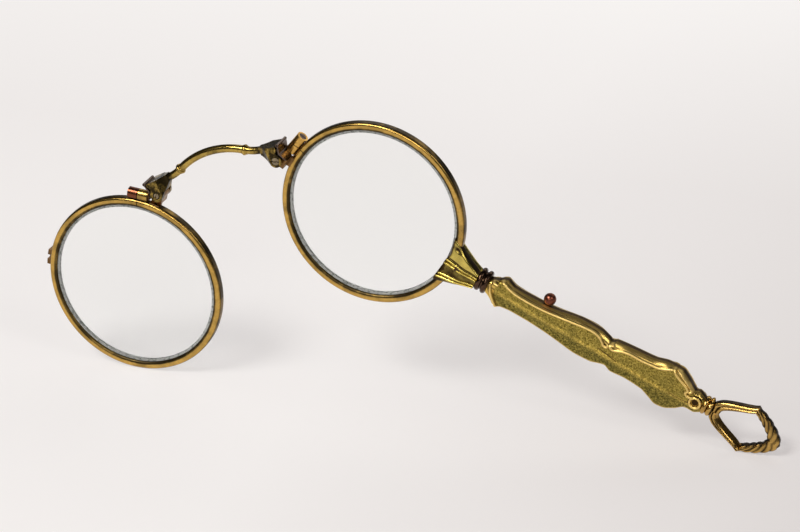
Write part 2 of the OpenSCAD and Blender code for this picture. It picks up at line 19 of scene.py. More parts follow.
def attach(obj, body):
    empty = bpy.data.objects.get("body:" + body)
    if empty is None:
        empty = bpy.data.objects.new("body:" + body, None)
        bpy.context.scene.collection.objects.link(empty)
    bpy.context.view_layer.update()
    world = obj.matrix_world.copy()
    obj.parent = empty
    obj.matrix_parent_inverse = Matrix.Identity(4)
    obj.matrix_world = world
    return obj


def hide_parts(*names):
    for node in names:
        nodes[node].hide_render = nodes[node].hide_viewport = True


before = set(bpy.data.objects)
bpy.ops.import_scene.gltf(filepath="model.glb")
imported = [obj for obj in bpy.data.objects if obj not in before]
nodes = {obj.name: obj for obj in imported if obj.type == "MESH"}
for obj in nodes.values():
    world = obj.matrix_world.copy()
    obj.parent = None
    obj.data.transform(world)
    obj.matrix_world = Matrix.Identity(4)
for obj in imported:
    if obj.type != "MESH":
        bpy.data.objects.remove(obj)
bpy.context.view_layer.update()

# %% [markdown]
# ## Where things are
#
# The makers of such things think in the plane of the lenses: U runs from the left lens to the right
# one, V runs up beside it, and N comes out to the front, all in millimetres from the middle of the
# right lens. The open lorgnette stands on its left rim and on its ribbon loop, so that plane leans.
# Each helper below turns one of the object's own frames into Blender's metres.

# %% The frames of the object
LEAN = math.radians(22.4761)
STAND = np.array([-5.8066, 1.1, 41.7821])
LENS_SPACING = 57.5
LAYER = 3.5
HINGE = np.array([13.9641, 17.0001])
HANDLE_ANGLE = math.radians(46.5)
HANDLE_OFFSET = -1.3


def lens_plane(u, v, n):
    """Turns the leaning plane upright: X is U cos - V sin, Z is U sin + V cos, and Y is minus N."""
    u, v, n = np.broadcast_arrays(u, v, n)
    x = u * math.cos(LEAN) - v * math.sin(LEAN) + STAND[0]
    z = u * math.sin(LEAN) + v * math.cos(LEAN) + STAND[2]
    return np.stack([x, STAND[1] - n, z], axis=-1) / 1000


def handle_frame(a, b, n):
    """A runs down the handle from the right lens, B across it to the upper side, N to the front."""
    side = b + HANDLE_OFFSET
    u = a * math.cos(HANDLE_ANGLE) + side * math.sin(HANDLE_ANGLE)
    v = -a * math.sin(HANDLE_ANGLE) + side * math.cos(HANDLE_ANGLE)
    return lens_plane(u, v, n)


def left_frame(x, y, n):
    """The left half is the right one turned half round and moved one layer forward."""
    return lens_plane(-LENS_SPACING - x, y, LAYER - n)


def bridge_frame(x, y, z):
    """X runs along the bridge from its middle, Y up from the hinges, Z to the front."""
    return lens_plane(x - LENS_SPACING / 2, y + HINGE[1], z + LAYER / 2)


print("right lens centre at", lens_plane(0, 0, 0).round(4))

# %% [markdown]
# ## From arrays to meshes
#
# Each new piece is a grid of points: rows along it and columns across it. Two flags say whether the
# rows or the columns join up again. The faces are worked out as one array of four numbers a face,
# and the mesh is made in a single call. Coinciding points at poles are merged, and a closed shape
# is turned outwards if its signed volume comes out negative.

# %% Making a grid into a mesh


def grid_faces(rows, columns, join_rows=False, join_columns=False):
    """Face (i, j) has corners (i, j), (i, j+1), (i+1, j+1), (i+1, j), counted round where joined."""
    i = np.arange(rows if join_rows else rows - 1)[:, None]
    j = np.arange(columns if join_columns else columns - 1)[None, :]
    i2 = (i + 1) % rows
    j2 = (j + 1) % columns
    corners = [i * columns + j, i * columns + j2, i2 * columns + j2, i2 * columns + j]
    return np.stack(np.broadcast_arrays(*corners), axis=-1).reshape(-1, 4)


def signed_volume(mesh):
    """The sum over triangles of a dot (b cross c) / 6: positive when the faces point outwards."""
    mesh.calc_loop_triangles()
    where = np.empty(len(mesh.vertices) * 3)
    mesh.vertices.foreach_get("co", where)
    where = where.reshape(-1, 3)
    where = where - where.mean(axis=0)
    corners = np.empty(len(mesh.loop_triangles) * 3, int)
    mesh.loop_triangles.foreach_get("vertices", corners)
    a, b, c = where[corners.reshape(-1, 3)].transpose(1, 0, 2)
    return float(np.einsum("ij,ij->i", a, np.cross(b, c)).sum() / 6)


def make_piece(name, points, faces, masks=None, sharp=40.0, closed=True):
    """Builds a mesh object from points and faces, with one float attribute for each mask."""
    mesh = bpy.data.meshes.new(name)
    mesh.from_pydata(points.reshape(-1, 3).tolist(), [], faces.tolist())
    for mask, values in (masks or {}).items():
        layer = mesh.attributes.new(mask, "FLOAT", "POINT")
        layer.data.foreach_set("value", np.ascontiguousarray(values, dtype=np.float32).ravel())
    tidy = bmesh.new()
    tidy.from_mesh(mesh)
    bmesh.ops.remove_doubles(tidy, verts=tidy.verts, dist=2e-6)
    bmesh.ops.dissolve_degenerate(tidy, edges=tidy.edges, dist=1e-7)
    tidy.to_mesh(mesh)
    tidy.free()
    if closed and signed_volume(mesh) < 0:
        mesh.flip_normals()
    mesh.shade_smooth()
    mesh.set_sharp_from_angle(angle=math.radians(sharp))
    piece = bpy.data.objects.new(name, mesh)
    bpy.context.scene.collection.objects.link(piece)
    print(name, "has", len(mesh.polygons), "faces")
    return piece


# %% [markdown]
# ## The gold, its wear and its painted shade
#
# Gilding on brass is warm metal with a memory. Where fingers reach, the gold is bright and polished.
# In places it keeps a brown or olive film. One node group makes that for every gilt piece: three
# layers of noise at different scales shift the colour from clean gold to film. A mask, painted on the
# new pieces by their own formulas, adds painted shade in the grooves and painted dark reflections on
# some edges, in the same dark colour, and darkens a few scratches.
# It gives out only a colour, a roughness and a height. The metal shader stays in each material.

# %% A helper for node groups


def new_group(name, inputs, outputs):
    """Starts a shader node group with named sockets, and gives back the group and its two ends."""
    group = bpy.data.node_groups.new(name, "ShaderNodeTree")
    for label, kind, value in inputs:
        socket = group.interface.new_socket(name=label, in_out="INPUT", socket_type=kind)
        socket.default_value = value
    for label, kind in outputs:
        group.interface.new_socket(name=label, in_out="OUTPUT", socket_type=kind)
    start = group.nodes.new("NodeGroupInput")
    end = group.nodes.new("NodeGroupOutput")
    return group, start, end


# %% Small steps in a node tree


def add_noise(tree, where, scale, detail=3.0, rough=0.55, stretch=(1.0, 1.0, 1.0)):
    """Noise on millimetres: object metres times 1000, stretched if asked, then scaled."""
    size = tree.nodes.new("ShaderNodeMapping")
    size.inputs["Scale"].default_value = [1000 * f for f in stretch]
    noise = tree.nodes.new("ShaderNodeTexNoise")
    noise.inputs["Scale"].default_value = scale
    noise.inputs["Detail"].default_value = detail
    noise.inputs["Roughness"].default_value = rough
    tree.links.new(where, size.inputs["Vector"])
    tree.links.new(size.outputs["Vector"], noise.inputs["Vector"])
    return noise.outputs["Fac"]


def add_range(tree, value, low, high, to_low=0.0, to_high=1.0):
    """Stretches a value from one range to another, and stops it at both ends."""
    node = tree.nodes.new("ShaderNodeMapRange")
    limits = {"From Min": low, "From Max": high, "To Min": to_low, "To Max": to_high}
    for label, limit in limits.items():
        node.inputs[label].default_value = limit
    tree.links.new(value, node.inputs["Value"])
    return node.outputs["Result"]


def feed(tree, socket, value):
    """Gives a socket its value, which is another node's socket or plain numbers."""
    if isinstance(value, bpy.types.NodeSocket):
        tree.links.new(value, socket)
    else:
        socket.default_value = value


def add_mix(tree, factor, first, second):
    """Mixes two colours, each a socket or a plain colour."""
    node = tree.nodes.new("ShaderNodeMix")
    node.data_type = "RGBA"
    for place, value in ((0, factor), (6, first), (7, second)):
        feed(tree, node.inputs[place], value)
    return node.outputs[2]


def add_math(tree, how, first, second=0.0, clamp=False):
    """One arithmetic step on two values, each a socket or a number."""
    node = tree.nodes.new("ShaderNodeMath")
    node.operation = how
    node.use_clamp = clamp
    feed(tree, node.inputs[0], first)
    feed(tree, node.inputs[1], second)
    return node.outputs[0]


def add_vector_math(tree, how, first, second=(0.0, 0.0, 0.0), answer="Value"):
    """One step on two vectors, each a socket or plain numbers. The answer is a value or a vector."""
    node = tree.nodes.new("ShaderNodeVectorMath")
    node.operation = how
    feed(tree, node.inputs[0], first)
    feed(tree, node.inputs[1], second)
    return node.outputs[answer]


def add_attribute(tree, name):
    """Reads one of the masks that a new piece carries."""
    node = tree.nodes.new("ShaderNodeAttribute")
    node.attribute_name = name
    return node.outputs["Fac"]


def find_node(tree, kind):
    """The first node of a kind in a tree."""
    return next(node for node in tree.nodes if node.type == kind)


# %% The group for worn gilding and painted shade


def make_worn_gilding():
    """Colour = gold, mixed to the dark colour by cloudy noise and by the painted shade mask. Roughness
    follows the darkening.
    """
    group, start, end = new_group(
        "worn gilding",
        [("Place", "NodeSocketVector", (0, 0, 0)),
         ("Gold", "NodeSocketColor", (0.7, 0.45, 0.12, 1)),
         ("Film And Shade", "NodeSocketColor", (0.2, 0.13, 0.03, 1)),
         ("Film Amount", "NodeSocketFloat", 0.4),
         ("Painted Shade And Scratches", "NodeSocketFloat", 0.0),
         ("Polish", "NodeSocketFloat", 0.22),
         ("Dullness", "NodeSocketFloat", 0.2)],
        [("Color", "NodeSocketColor"), ("Roughness", "NodeSocketFloat"),
         ("Height", "NodeSocketFloat")])
    given = start.outputs
    cloud = add_range(group, add_noise(group, given["Place"], 0.35, 4.0, 0.6), 0.42, 0.68)
    spots = add_range(group, add_noise(group, given["Place"], 2.6, 5.0, 0.65), 0.52, 0.72)
    grain = add_noise(group, given["Place"], 9.0, 3.0, 0.6)
    darkening = add_math(group, "MAXIMUM", cloud, spots)
    darkening = add_math(group, "MULTIPLY", darkening, given["Film Amount"])
    # Painted shade and dark reflections come in here and darken to the same colour as the film
    darkening = add_math(group, "ADD", darkening, given["Painted Shade And Scratches"], clamp=True)
    colour = add_mix(group, darkening, given["Gold"], given["Film And Shade"])
    rough = add_math(group, "MULTIPLY", darkening, given["Dullness"])
    rough = add_math(group, "ADD", rough, given["Polish"])
    ripple = add_range(group, grain, 0.35, 0.7, -0.03, 0.08)
    rough = add_math(group, "ADD", rough, ripple, clamp=True)
    height = add_math(group, "ADD", add_math(group, "MULTIPLY", grain, 0.35),
                      add_math(group, "MULTIPLY", spots, 0.65))
    for label, value in (("Color", colour), ("Roughness", rough), ("Height", height)):
        group.links.new(value, end.inputs[label])
    return group


shaded_worn_gilding = make_worn_gilding()
gives = [socket.name for socket in shaded_worn_gilding.interface.items_tree if socket.in_out == "OUTPUT"]
print("group", shaded_worn_gilding.name, "gives", gives)

# %% [markdown]
# ## The punched ground
#
# The panel between the scrolls isn't smooth: the die was punched all over with a fine blunt point,
# so that the smooth scrolls stand out from a matt ground. A Voronoi pattern makes the punch marks,
# about three to the millimetre, and a fine noise breaks them up.

# %% The stippled ground group


def make_stipple():
    """Height falls towards the middle of each Voronoi cell. The shade follows it, with noise."""
    group, start, end = new_group(
        "punched ground",
        [("Place", "NodeSocketVector", (0, 0, 0)), ("Marks", "NodeSocketFloat", 3.2)],
        [("Height", "NodeSocketFloat"), ("Shade", "NodeSocketFloat")])
    size = group.nodes.new("ShaderNodeMapping")
    size.inputs["Scale"].default_value = (1000, 1000, 1000)
    cells = group.nodes.new("ShaderNodeTexVoronoi")
    group.links.new(start.outputs["Place"], size.inputs["Vector"])
    group.links.new(size.outputs["Vector"], cells.inputs["Vector"])
    group.links.new(start.outputs["Marks"], cells.inputs["Scale"])
    dents = add_range(group, cells.outputs["Distance"], 0.0, 0.6)
    fine = add_noise(group, start.outputs["Place"], 2.8, 5.0, 0.8)
    height = add_math(group, "ADD", dents, add_math(group, "MULTIPLY", fine, 0.6))
    shade = add_math(group, "MULTIPLY", add_range(group, fine, 0.40, 0.61),
                     add_range(group, dents, 0.0, 1.0, 0.45, 1.0))
    group.links.new(height, end.inputs["Height"])
    group.links.new(shade, end.inputs["Shade"])
    return group


punched_ground = make_stipple()
print("group", punched_ground.name, "is ready")

# %% [markdown]
# ## The gilt finishes
#
# Every gilt piece has the same recipe with its own colours: rims and bridge are yellow, the handle's
# stamping is greener, the fittings are browner. The attribute of painted shade is nought on a CAD
# solid, so the recipe suits both kinds of piece.

# %% The gilt materials


def start_material(name, metallic=1.0):
    """A material with a Principled shader, an Object coordinate and nothing else."""
    material = bpy.data.materials.new(name)
    material.use_nodes = True
    tree = material.node_tree
    shader = tree.nodes["Principled BSDF"]
    shader.inputs["Metallic"].default_value = metallic
    place = tree.nodes.new("ShaderNodeTexCoord").outputs["Object"]
    return material, tree, shader, place


def add_bump(tree, shader, height, depth):
    """Bumps the surface by a height between nought and one, times a depth in millimetres."""
    bump = tree.nodes.new("ShaderNodeBump")
    bump.inputs["Distance"].default_value = depth / 1000
    bump.inputs["Strength"].default_value = 1.0
    tree.links.new(height, bump.inputs["Height"])
    tree.links.new(bump.outputs["Normal"], shader.inputs["Normal"])


def gilt(name, gold, darkening, amount, polish, dullness):
    """Worn gilding and painted shade, with its own gold, dark colour and amount of wear."""
    material, tree, shader, place = start_material(name)
    wear = tree.nodes.new("ShaderNodeGroup")
    wear.node_tree = shaded_worn_gilding
    given = {"Place": place, "Painted Shade And Scratches": add_attribute(tree, "hollow"), "Gold": (*gold, 1),
             "Film And Shade": (*darkening, 1), "Film Amount": amount, "Polish": polish, "Dullness": dullness}
    for label, value in given.items():
        feed(tree, wear.inputs[label], value)
    tree.links.new(wear.outputs["Color"], shader.inputs["Base Color"])
    tree.links.new(wear.outputs["Roughness"], shader.inputs["Roughness"])
    add_bump(tree, shader, wear.outputs["Height"], 0.01)
    return material


def gilding_nodes(material):
    """A gilt material's tree, its gilding group and its Object coordinate."""
    tree = material.node_tree
    return tree, find_node(tree, "GROUP"), find_node(tree, "TEX_COORD").outputs["Object"]


rim_gilt = gilt("rim gilding", (0.60, 0.37, 0.09), (0.05, 0.035, 0.015), 0.5, 0.15, 0.2)
bridge_gilt = gilt("bridge gilding", (0.50, 0.34, 0.08), (0.035, 0.025, 0.01), 0.7, 0.15, 0.2)
loop_gilt = gilt("loop gilding", (0.58, 0.36, 0.10), (0.03, 0.02, 0.01), 0.4, 0.15, 0.25)
bronze_and_slot_shade = gilt("dark bronze and slot shade", (0.09, 0.05, 0.03), (0.012, 0.01, 0.01), 0.7, 0.15, 0.2)
fan_gilt = gilt("fan gilding", (0.70, 0.55, 0.13), (0.05, 0.03, 0.012), 0.4, 0.17, 0.2)
fitting_gilt = gilt("fitting gilding", (0.22, 0.12, 0.045), (0.02, 0.014, 0.012), 0.6, 0.2, 0.2)
barrel_gilt = gilt("barrel gilding", (0.72, 0.42, 0.10), (0.10, 0.05, 0.02), 0.6, 0.2, 0.2)
barrel_copper = gilt("barrel worn to copper", (0.34, 0.10, 0.045), (0.07, 0.03, 0.02), 0.5, 0.2, 0.2)
knob_copper = gilt("knob worn to copper", (0.24, 0.075, 0.045), (0.04, 0.018, 0.014), 0.5, 0.28, 0.15)
print("finishes so far:", [material.name for material in bpy.data.materials])

# %% [markdown]
# The left rim's two closing barrels have worn apart: one is copper now and the other is still gold.
# The step between them is the plane of the rim's cut, found from the distance along the barrels.

# %% The two tones of the left barrels
CUT_ANGLE = math.radians(180 - 61.5)
BARREL_R = 20.5
TONE_STEP = 0.04


def split_barrels(material):
    """Copper where (place - cut) dot along is below nought, and gold beyond it."""
    tree, wear, place = gilding_nodes(material)
    cut = left_frame(BARREL_R * math.cos(CUT_ANGLE), BARREL_R * math.sin(CUT_ANGLE), 0.0)
    cut = nodes["left_closing_barrels"].matrix_world.inverted() @ Vector(cut)
    along = lens_plane(math.sin(CUT_ANGLE), math.cos(CUT_ANGLE), 0.0) - lens_plane(0, 0, 0)
    away = add_vector_math(tree, "SUBTRACT", place, cut, "Vector")
    beyond = add_vector_math(tree, "DOT_PRODUCT", away, along * 1000)
    side = add_range(tree, beyond, -TONE_STEP / 1000, TONE_STEP / 1000)
    copper, gold = (0.20, 0.065, 0.032, 1), (0.50, 0.32, 0.08, 1)
    tree.links.new(add_mix(tree, side, copper, gold), wear.inputs["Gold"])


split_barrels(barrel_copper)
print("the left barrels have two tones")

# %% [markdown]
# The bridge is bright along its bow, and painted shade darkens the two forks at its ends. The distance
# to the nearer hinge tells the fork from the bow.

# %% The dark forks
HALF_SPAN = round(LENS_SPACING / 2 - HINGE[0], 3)


def darken_forks(material):
    """Painted shade = patchy noise, full at 4.5 mm from the nearer hinge and none from 6 mm outwards.
    """
    tree, wear, place = gilding_nodes(material)
    inside = nodes["bridge"].matrix_world.inverted()
    hinges = [inside @ Vector(bridge_frame(side * HALF_SPAN, 0.0, 0.0)) for side in (-1, 1)]
    gaps = [add_vector_math(tree, "DISTANCE", place, hinge) for hinge in hinges]
    near = add_range(tree, add_math(tree, "MINIMUM", *gaps), 0.0060, 0.0045, 0.0, 0.9)
    patch = add_range(tree, add_noise(tree, place, 0.7, 4.0, 0.6), 0.38, 0.6, 0.35, 1.0)
    tree.links.new(add_math(tree, "MULTIPLY", near, patch), wear.inputs["Painted Shade And Scratches"])


darken_forks(bridge_gilt)
print("the forks are darker than the bow")

# %% [markdown]
# The handle's stamping mixes the smooth scrolls and the punched ground in one material. Three more
# attributes guide it: "ground" is one on the panel and nought on the scrolls, a second one paints
# light on the panel, brightest in a band along its ridge and brighter above the ridge than below it,
# and a third one paints a highlight on the scrolls' crests, the rolled border and the lower edge.

# %% The handle's stamped finish


def make_stamped():
    """Worn gilding on the scrolls. On the ground, olive gold with punch marks, and rougher."""
    material = gilt("stamped gilding", (0.74, 0.50, 0.12), (0.05, 0.028, 0.01), 0.3, 0.17, 0.25)
    tree, wear, place = gilding_nodes(material)
    stipple = tree.nodes.new("ShaderNodeGroup")
    stipple.node_tree = punched_ground
    tree.links.new(place, stipple.inputs["Place"])
    ground, facet, painted_highlight = [add_attribute(tree, name) for name in ("ground", "facet", "painted_highlight")]
    # Painted light: the panel is brighter along its ridge and above it than below it
    deep = add_mix(tree, facet, (0.035, 0.035, 0.009, 1), (0.26, 0.18, 0.03, 1))
    high = add_mix(tree, facet, (0.44, 0.34, 0.075, 1), (1.0, 0.74, 0.16, 1))
    olive = add_mix(tree, stipple.outputs["Shade"], deep, high)
    cloud = add_range(tree, add_noise(tree, place, 0.4, 4.0, 0.6), 0.45, 0.75, 0.0, 0.45)
    olive = add_mix(tree, cloud, olive, (0.12, 0.11, 0.03, 1))
    colour = add_mix(tree, ground, wear.outputs["Color"], olive)
    # A painted highlight: pale gold on the scrolls' crests, the rolled border and the lower edge
    bright = add_math(tree, "MULTIPLY", painted_highlight, 0.85)
    colour = add_mix(tree, bright, colour, (0.95, 0.70, 0.25, 1))
    rough = add_math(tree, "ADD", add_math(tree, "MULTIPLY", ground, 0.22),
                     add_math(tree, "MULTIPLY", painted_highlight, 0.26))
    rough = add_math(tree, "ADD", wear.outputs["Roughness"], rough, clamp=True)
    marks = add_math(tree, "MULTIPLY", stipple.outputs["Height"], ground)
    height = add_math(tree, "ADD", add_math(tree, "MULTIPLY", marks, 4.0), wear.outputs["Height"])
    shader = tree.nodes["Principled BSDF"]
    tree.links.new(colour, shader.inputs["Base Color"])
    tree.links.new(rough, shader.inputs["Roughness"])
    tree.links.new(height, find_node(tree, "BUMP").inputs["Height"])
    return material


stamped_gilt = make_stamped()
print("finish", stamped_gilt.name, "is ready")

# %% [markdown]
# ## Steel and glass
#
# Screws and springs are steel: grey, with fine scratches along them. The lenses are plain polished
# glass, so the glass keeps a plain transmission. Only its roughness has faint smears of dust.

# %% The steel materials


def steel(name, colour, dark):
    """Brushed steel: noise stretched one way shifts the colour and the roughness."""
    material, tree, shader, place = start_material(name)
    scratch = add_range(tree, add_noise(tree, place, 3.0, 4.0, 0.6, (6.0, 1.0, 0.6)), 0.35, 0.7)
    cloud = add_range(tree, add_noise(tree, place, 0.9, 3.0), 0.4, 0.7)
    darkening = add_math(tree, "MULTIPLY", scratch, cloud)
    tree.links.new(add_mix(tree, darkening, (*colour, 1), (*dark, 1)), shader.inputs["Base Color"])
    tree.links.new(add_range(tree, scratch, 0.0, 1.0, 0.2, 0.36), shader.inputs["Roughness"])
    add_bump(tree, shader, scratch, 0.004)
    return material


screw_steel = steel("screw steel", (0.30, 0.24, 0.15), (0.03, 0.025, 0.02))
spring_steel = steel("spring steel", (0.14, 0.10, 0.08), (0.02, 0.017, 0.015))
print("steel finishes are ready")

# %% The glass material


def make_glass():
    """Clear glass with a slight green tint. Smears of dust make parts of it a little rougher."""
    material, tree, shader, place = start_material("lens glass", 0.0)
    shader.inputs["Base Color"].default_value = (0.975, 0.985, 0.98, 1)
    shader.inputs["Transmission Weight"].default_value = 1.0
    shader.inputs["IOR"].default_value = 1.45
    smear = add_range(tree, add_noise(tree, place, 0.25, 5.0, 0.7), 0.5, 0.8, 0.0, 0.05)
    tree.links.new(smear, shader.inputs["Roughness"])
    return material


lens_glass = make_glass()


def make_ground_edge():
    """The lens's edge, ground matt: a rough pale grey glass with small chips in its tone."""
    material, tree, shader, place = start_material("ground glass edge", 0.0)
    chips = add_range(tree, add_noise(tree, place, 1.6, 4.0, 0.6), 0.5, 0.62)
    pale, grey = (0.72, 0.74, 0.72, 1), (0.30, 0.33, 0.31, 1)
    tree.links.new(add_mix(tree, chips, pale, grey), shader.inputs["Base Color"])
    tree.links.new(add_range(tree, chips, 0.0, 1.0, 0.35, 0.6), shader.inputs["Roughness"])
    shader.inputs["Transmission Weight"].default_value = 0.5
    add_bump(tree, shader, chips, 0.03)
    return material


ground_edge = make_ground_edge()
print("glass finishes are ready")

# %% [markdown]
# ## Dressing the CAD solids
#
# Barrels, lugs, springs, guides and the bridge are already right in the CAD model. They keep their
# meshes and only get their finish, in every material slot that they have. The other solids get one
# too, though further on a finer piece stands for each of them.

# %% Finishes for the CAD nodes
finishes = {
    rim_gilt: ["right_rim", "left_rim"],
    bridge_gilt: ["bridge"],
    fitting_gilt: ["right_hinge_lug", "left_hinge_lug", "catch_nib"],
    # The slide and its guides take the dark bronze, which paints the knob's slot in shade
    bronze_and_slot_shade: ["neck_collar", "slide_guides", "release_slide"],
    barrel_gilt: ["right_closing_barrels"],
    barrel_copper: ["left_closing_barrels"],
    knob_copper: ["release_knob"],
    screw_steel: ["right_hinge_screw", "left_hinge_screw"],
    spring_steel: ["right_closing_screw", "left_closing_screw", "right_leaf_spring",
                   "left_leaf_spring", "catch_spring"],
    lens_glass: ["right_lens", "left_lens"],
    fan_gilt: ["ferrule"],
    stamped_gilt: ["handle_front_shell", "handle_back_shell"],
    loop_gilt: ["ribbon_loop", "end_collar"],
}
for finish, names in finishes.items():
    for solid in (nodes[name] for name in names):
        if not solid.material_slots:
            solid.data.materials.append(finish)
        for slot in solid.material_slots:
            slot.material = finish
print("finishes on", sum(len(names) for names in finishes.values()), "nodes")

# %% [markdown]
# ## The rims
#
# Each rim is drawn wire, rolled to a ring and cut through where the closing screw pulls it tight.
# Its section is carried round the lens from one side of the cut to the other. A mask paints dark
# reflections and shade along both rounded edges.

# %% How a new piece joins the frame


def dress(piece, finish, body, node=None):
    """Gives a piece its finish, hides the solid it stands for, and attaches it to the body it moves
    with.
    """
    piece.data.materials.append(finish)
    if node:
        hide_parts(node)
    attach(piece, body)
    return piece


# %% The rim surfaces
RIM_R = 19.8
RIM_IN = 18.1
RIM_HALF = 1.1
RIM_ROUND = 0.6
RIM_MIDDLE = 19.2
GROOVE_R = 18.6
GROOVE_HALF = 0.54
CUT_HALF = 0.09 / RIM_R


def rim_section():
    """The front half runs out of the groove, round the inner edge, over the face and round the outer
    edge, and the back half mirrors it. Painted shade and dark reflections lie on both edges."""
    turn = np.linspace(0, math.pi / 2, 9)
    less, more = RIM_ROUND * (1 - np.cos(turn)), RIM_ROUND * (1 - np.sin(turn))
    start = [[GROOVE_R, 0.0], [GROOVE_R, GROOVE_HALF], [RIM_IN, GROOVE_HALF]]
    inner = np.stack([RIM_IN + less, RIM_HALF - more], axis=1)
    face = [[r, RIM_HALF] for r in (18.78, 18.86, 18.94, 19.08)]
    outer = np.stack([RIM_R - more, RIM_HALF - less], axis=1)
    front = np.concatenate([start, inner, face, outer])
    radius = front[:, 0]
    # Painted shade and dark reflections: darker on the inner and the outer rounded edge
    inner_shade = 0.95 * np.clip((18.80 - radius) / 0.2, 0, 1)
    dark = inner_shade + 0.9 * np.clip((radius - 19.55) / 0.2, 0, 1)
    return np.concatenate([front, front[:0:-1] * [1, -1]]), np.concatenate([dark, dark[:0:-1]])


def make_rim(name, node, body, placed):
    """x = r cos t, y = r sin t, for t from just past the cut, right round, to just before it."""
    section, dark = rim_section()
    turn = np.linspace(CUT_ANGLE + CUT_HALF, CUT_ANGLE + 2 * math.pi - CUT_HALF, 361)
    turn = np.concatenate([turn[:1], turn, turn[-1:]])[:, None]
    radius, height = [np.repeat(line[None, :], len(turn), axis=0) for line in section.T]
    # Each end of the wire closes at one point inside it
    radius[[0, -1]], height[[0, -1]] = RIM_MIDDLE, 0.0
    points = placed(radius * np.cos(turn), radius * np.sin(turn), height)
    patch = 0.86 + 0.14 * np.sin(3 * turn + 0.7) * np.sin(7 * turn)
    rim = make_piece(name, points, grid_faces(len(turn), len(section), join_columns=True),
                     {"hollow": np.clip(dark[None, :] * patch, 0, 1)})
    return dress(rim, rim_gilt, body, node)


make_rim("right_rim_band", "right_rim", "right_half", lens_plane)
make_rim("left_rim_band", "left_rim", "left_half", left_frame)

# %% [markdown]
# ## The lenses
#
# A spectacle lens is a thin disc with two shallow domes and a ground bevel that sits in the rim's
# groove. It is a surface of revolution: a profile of radius and height, carried round the axis.
# Its edge is ground matt, so the bevel is a piece of its own, a ring that catches the light as the
# pale line that one sees inside a rim.

# %% The lens surfaces
GLASS_R = 18.56
GLASS_EDGE = 1.0
GLASS_CROWN = 0.4
BEVEL = [(17.62, 0.50), (17.80, 0.58), (18.30, 0.60)]


def revolve(profile, count, placed):
    """Carries a profile of (radius, height) round: x = r cos t, y = r sin t, n = height."""
    turn = np.linspace(0, 2 * math.pi, count, endpoint=False)[None, :]
    radius, height = profile.T[..., None]
    points = placed(radius * np.cos(turn), radius * np.sin(turn), height + 0 * turn)
    return points, grid_faces(len(profile), count, join_columns=True)


def make_lens(name, node, body, placed):
    """Half height = edge / 2 + crown (1 - (r / R)^2), from the front pole round to the back one."""
    radius = GLASS_R * np.sin(np.linspace(0, math.pi / 2, 40))
    half = GLASS_EDGE / 2 + GLASS_CROWN * (1 - (radius / GLASS_R) ** 2)
    front = np.stack([radius, half], axis=1)
    points, faces = revolve(np.concatenate([front, front[::-1] * [1, -1]]), 160, placed)
    return dress(make_piece(name, points, faces), lens_glass, body, node)


def make_bevel(name, body, placed):
    """A closed ring round the lens's edge, whose section slopes down to the dome on each face."""
    front = np.array(BEVEL)
    profile = np.concatenate([front, front[::-1] * [1, -1], front[:1]])
    points, faces = revolve(profile, 200, placed)
    return dress(make_piece(name, points, faces, sharp=25), ground_edge, body)


make_lens("right_lens_glass", "right_lens", "right_half", lens_plane)
make_lens("left_lens_glass", "left_lens", "left_half", left_frame)
make_bevel("right_lens_bevel", "right_half", lens_plane)
make_bevel("left_lens_bevel", "left_half", left_frame)

# %% [markdown]
# ## The handle's stamped shells
#
# Two shells stamped from thin sheet make the handle, soldered along its edge. The front is a height
# field: for each place along and across the handle, a sum of simple shapes gives how far the sheet
# stands out. There is a panel with a low ridge, a bead that runs in three scrolls along the upper
# side, a groove beyond it, a rolled border, and a little volute at the end. Each shape uses the
# distance to a curve drawn through a few stations, measured along and across the handle.

# %% The handle's outline
SHELL_START = 27.5
SHELL_END = 76.7
UPPER_EDGE = [(27.5, 1.5), (29.1, 2.2), (29.9, 2.85), (30.9, 3.2), (31.6, 2.85), (32.8, 2.4),
              (35, 2.35), (38.2, 2.45), (42.1, 2.65), (45.3, 3.3), (48.4, 3.7), (51.6, 3.6),
              (54.1, 2.9), (54.9, 2.55), (55.9, 3.15), (60.1, 3.6), (64, 3.95), (66.8, 4.75),
              (68.1, 4.85), (69.9, 4.75), (71.9, 3.7), (73.6, 2.4), (74.2, 2.1), (74.9, 2.35),
              (76, 1.95), (76.7, 1.5)]
LOWER_EDGE = [(27.5, 1.45), (28.9, 2.35), (30.1, 3.3), (30.7, 3.4), (31.6, 2.95), (34.2, 2.65),
              (37.4, 2.7), (41.3, 2.95), (45.3, 3.45), (49.3, 3.95), (52.5, 3.8), (54.4, 3.2),
              (55.6, 2.9), (57.2, 3.5), (60.3, 3.25), (64, 3.5), (66.2, 4.3), (68.1, 5.05),
              (69.5, 4.95), (71.9, 3.7), (73.6, 2.35), (74.3, 2.25), (75.4, 2.3), (76.7, 1.6)]
INNER_BEAD = [(27.5, 1.0), (28.5, 1.75), (29.3, 2.35), (30.1, 2.7), (31.3, 2.2), (32.5, 1.85),
              (34.4, 1.6), (36.9, 1.55), (39.8, 1.65), (42.7, 2.0), (44.4, 2.25), (46.8, 2.6),
              (49.2, 2.95), (50.9, 2.95), (52.3, 2.6), (53.1, 2.2), (53.8, 1.5), (54.4, 1.4),
              (54.9, 1.6), (55.5, 1.5), (56.2, 1.55), (57.7, 2.3), (59.6, 2.6), (61.7, 2.6),
              (63.7, 2.8), (65.6, 3.05), (67, 3.6), (68.2, 4.2), (68.7, 4.2), (69.1, 3.9),
              (70.1, 3.3), (71.3, 2.75), (72.4, 2.2), (73, 1.6), (74, 1.5), (76.7, 1.3)]
RIDGE = [(27.5, 0.2), (33.8, 0.0), (38.1, -0.3), (46.9, -0.4), (53.8, -0.5), (60, -0.6),
         (68, -0.75), (76.7, -0.6)]


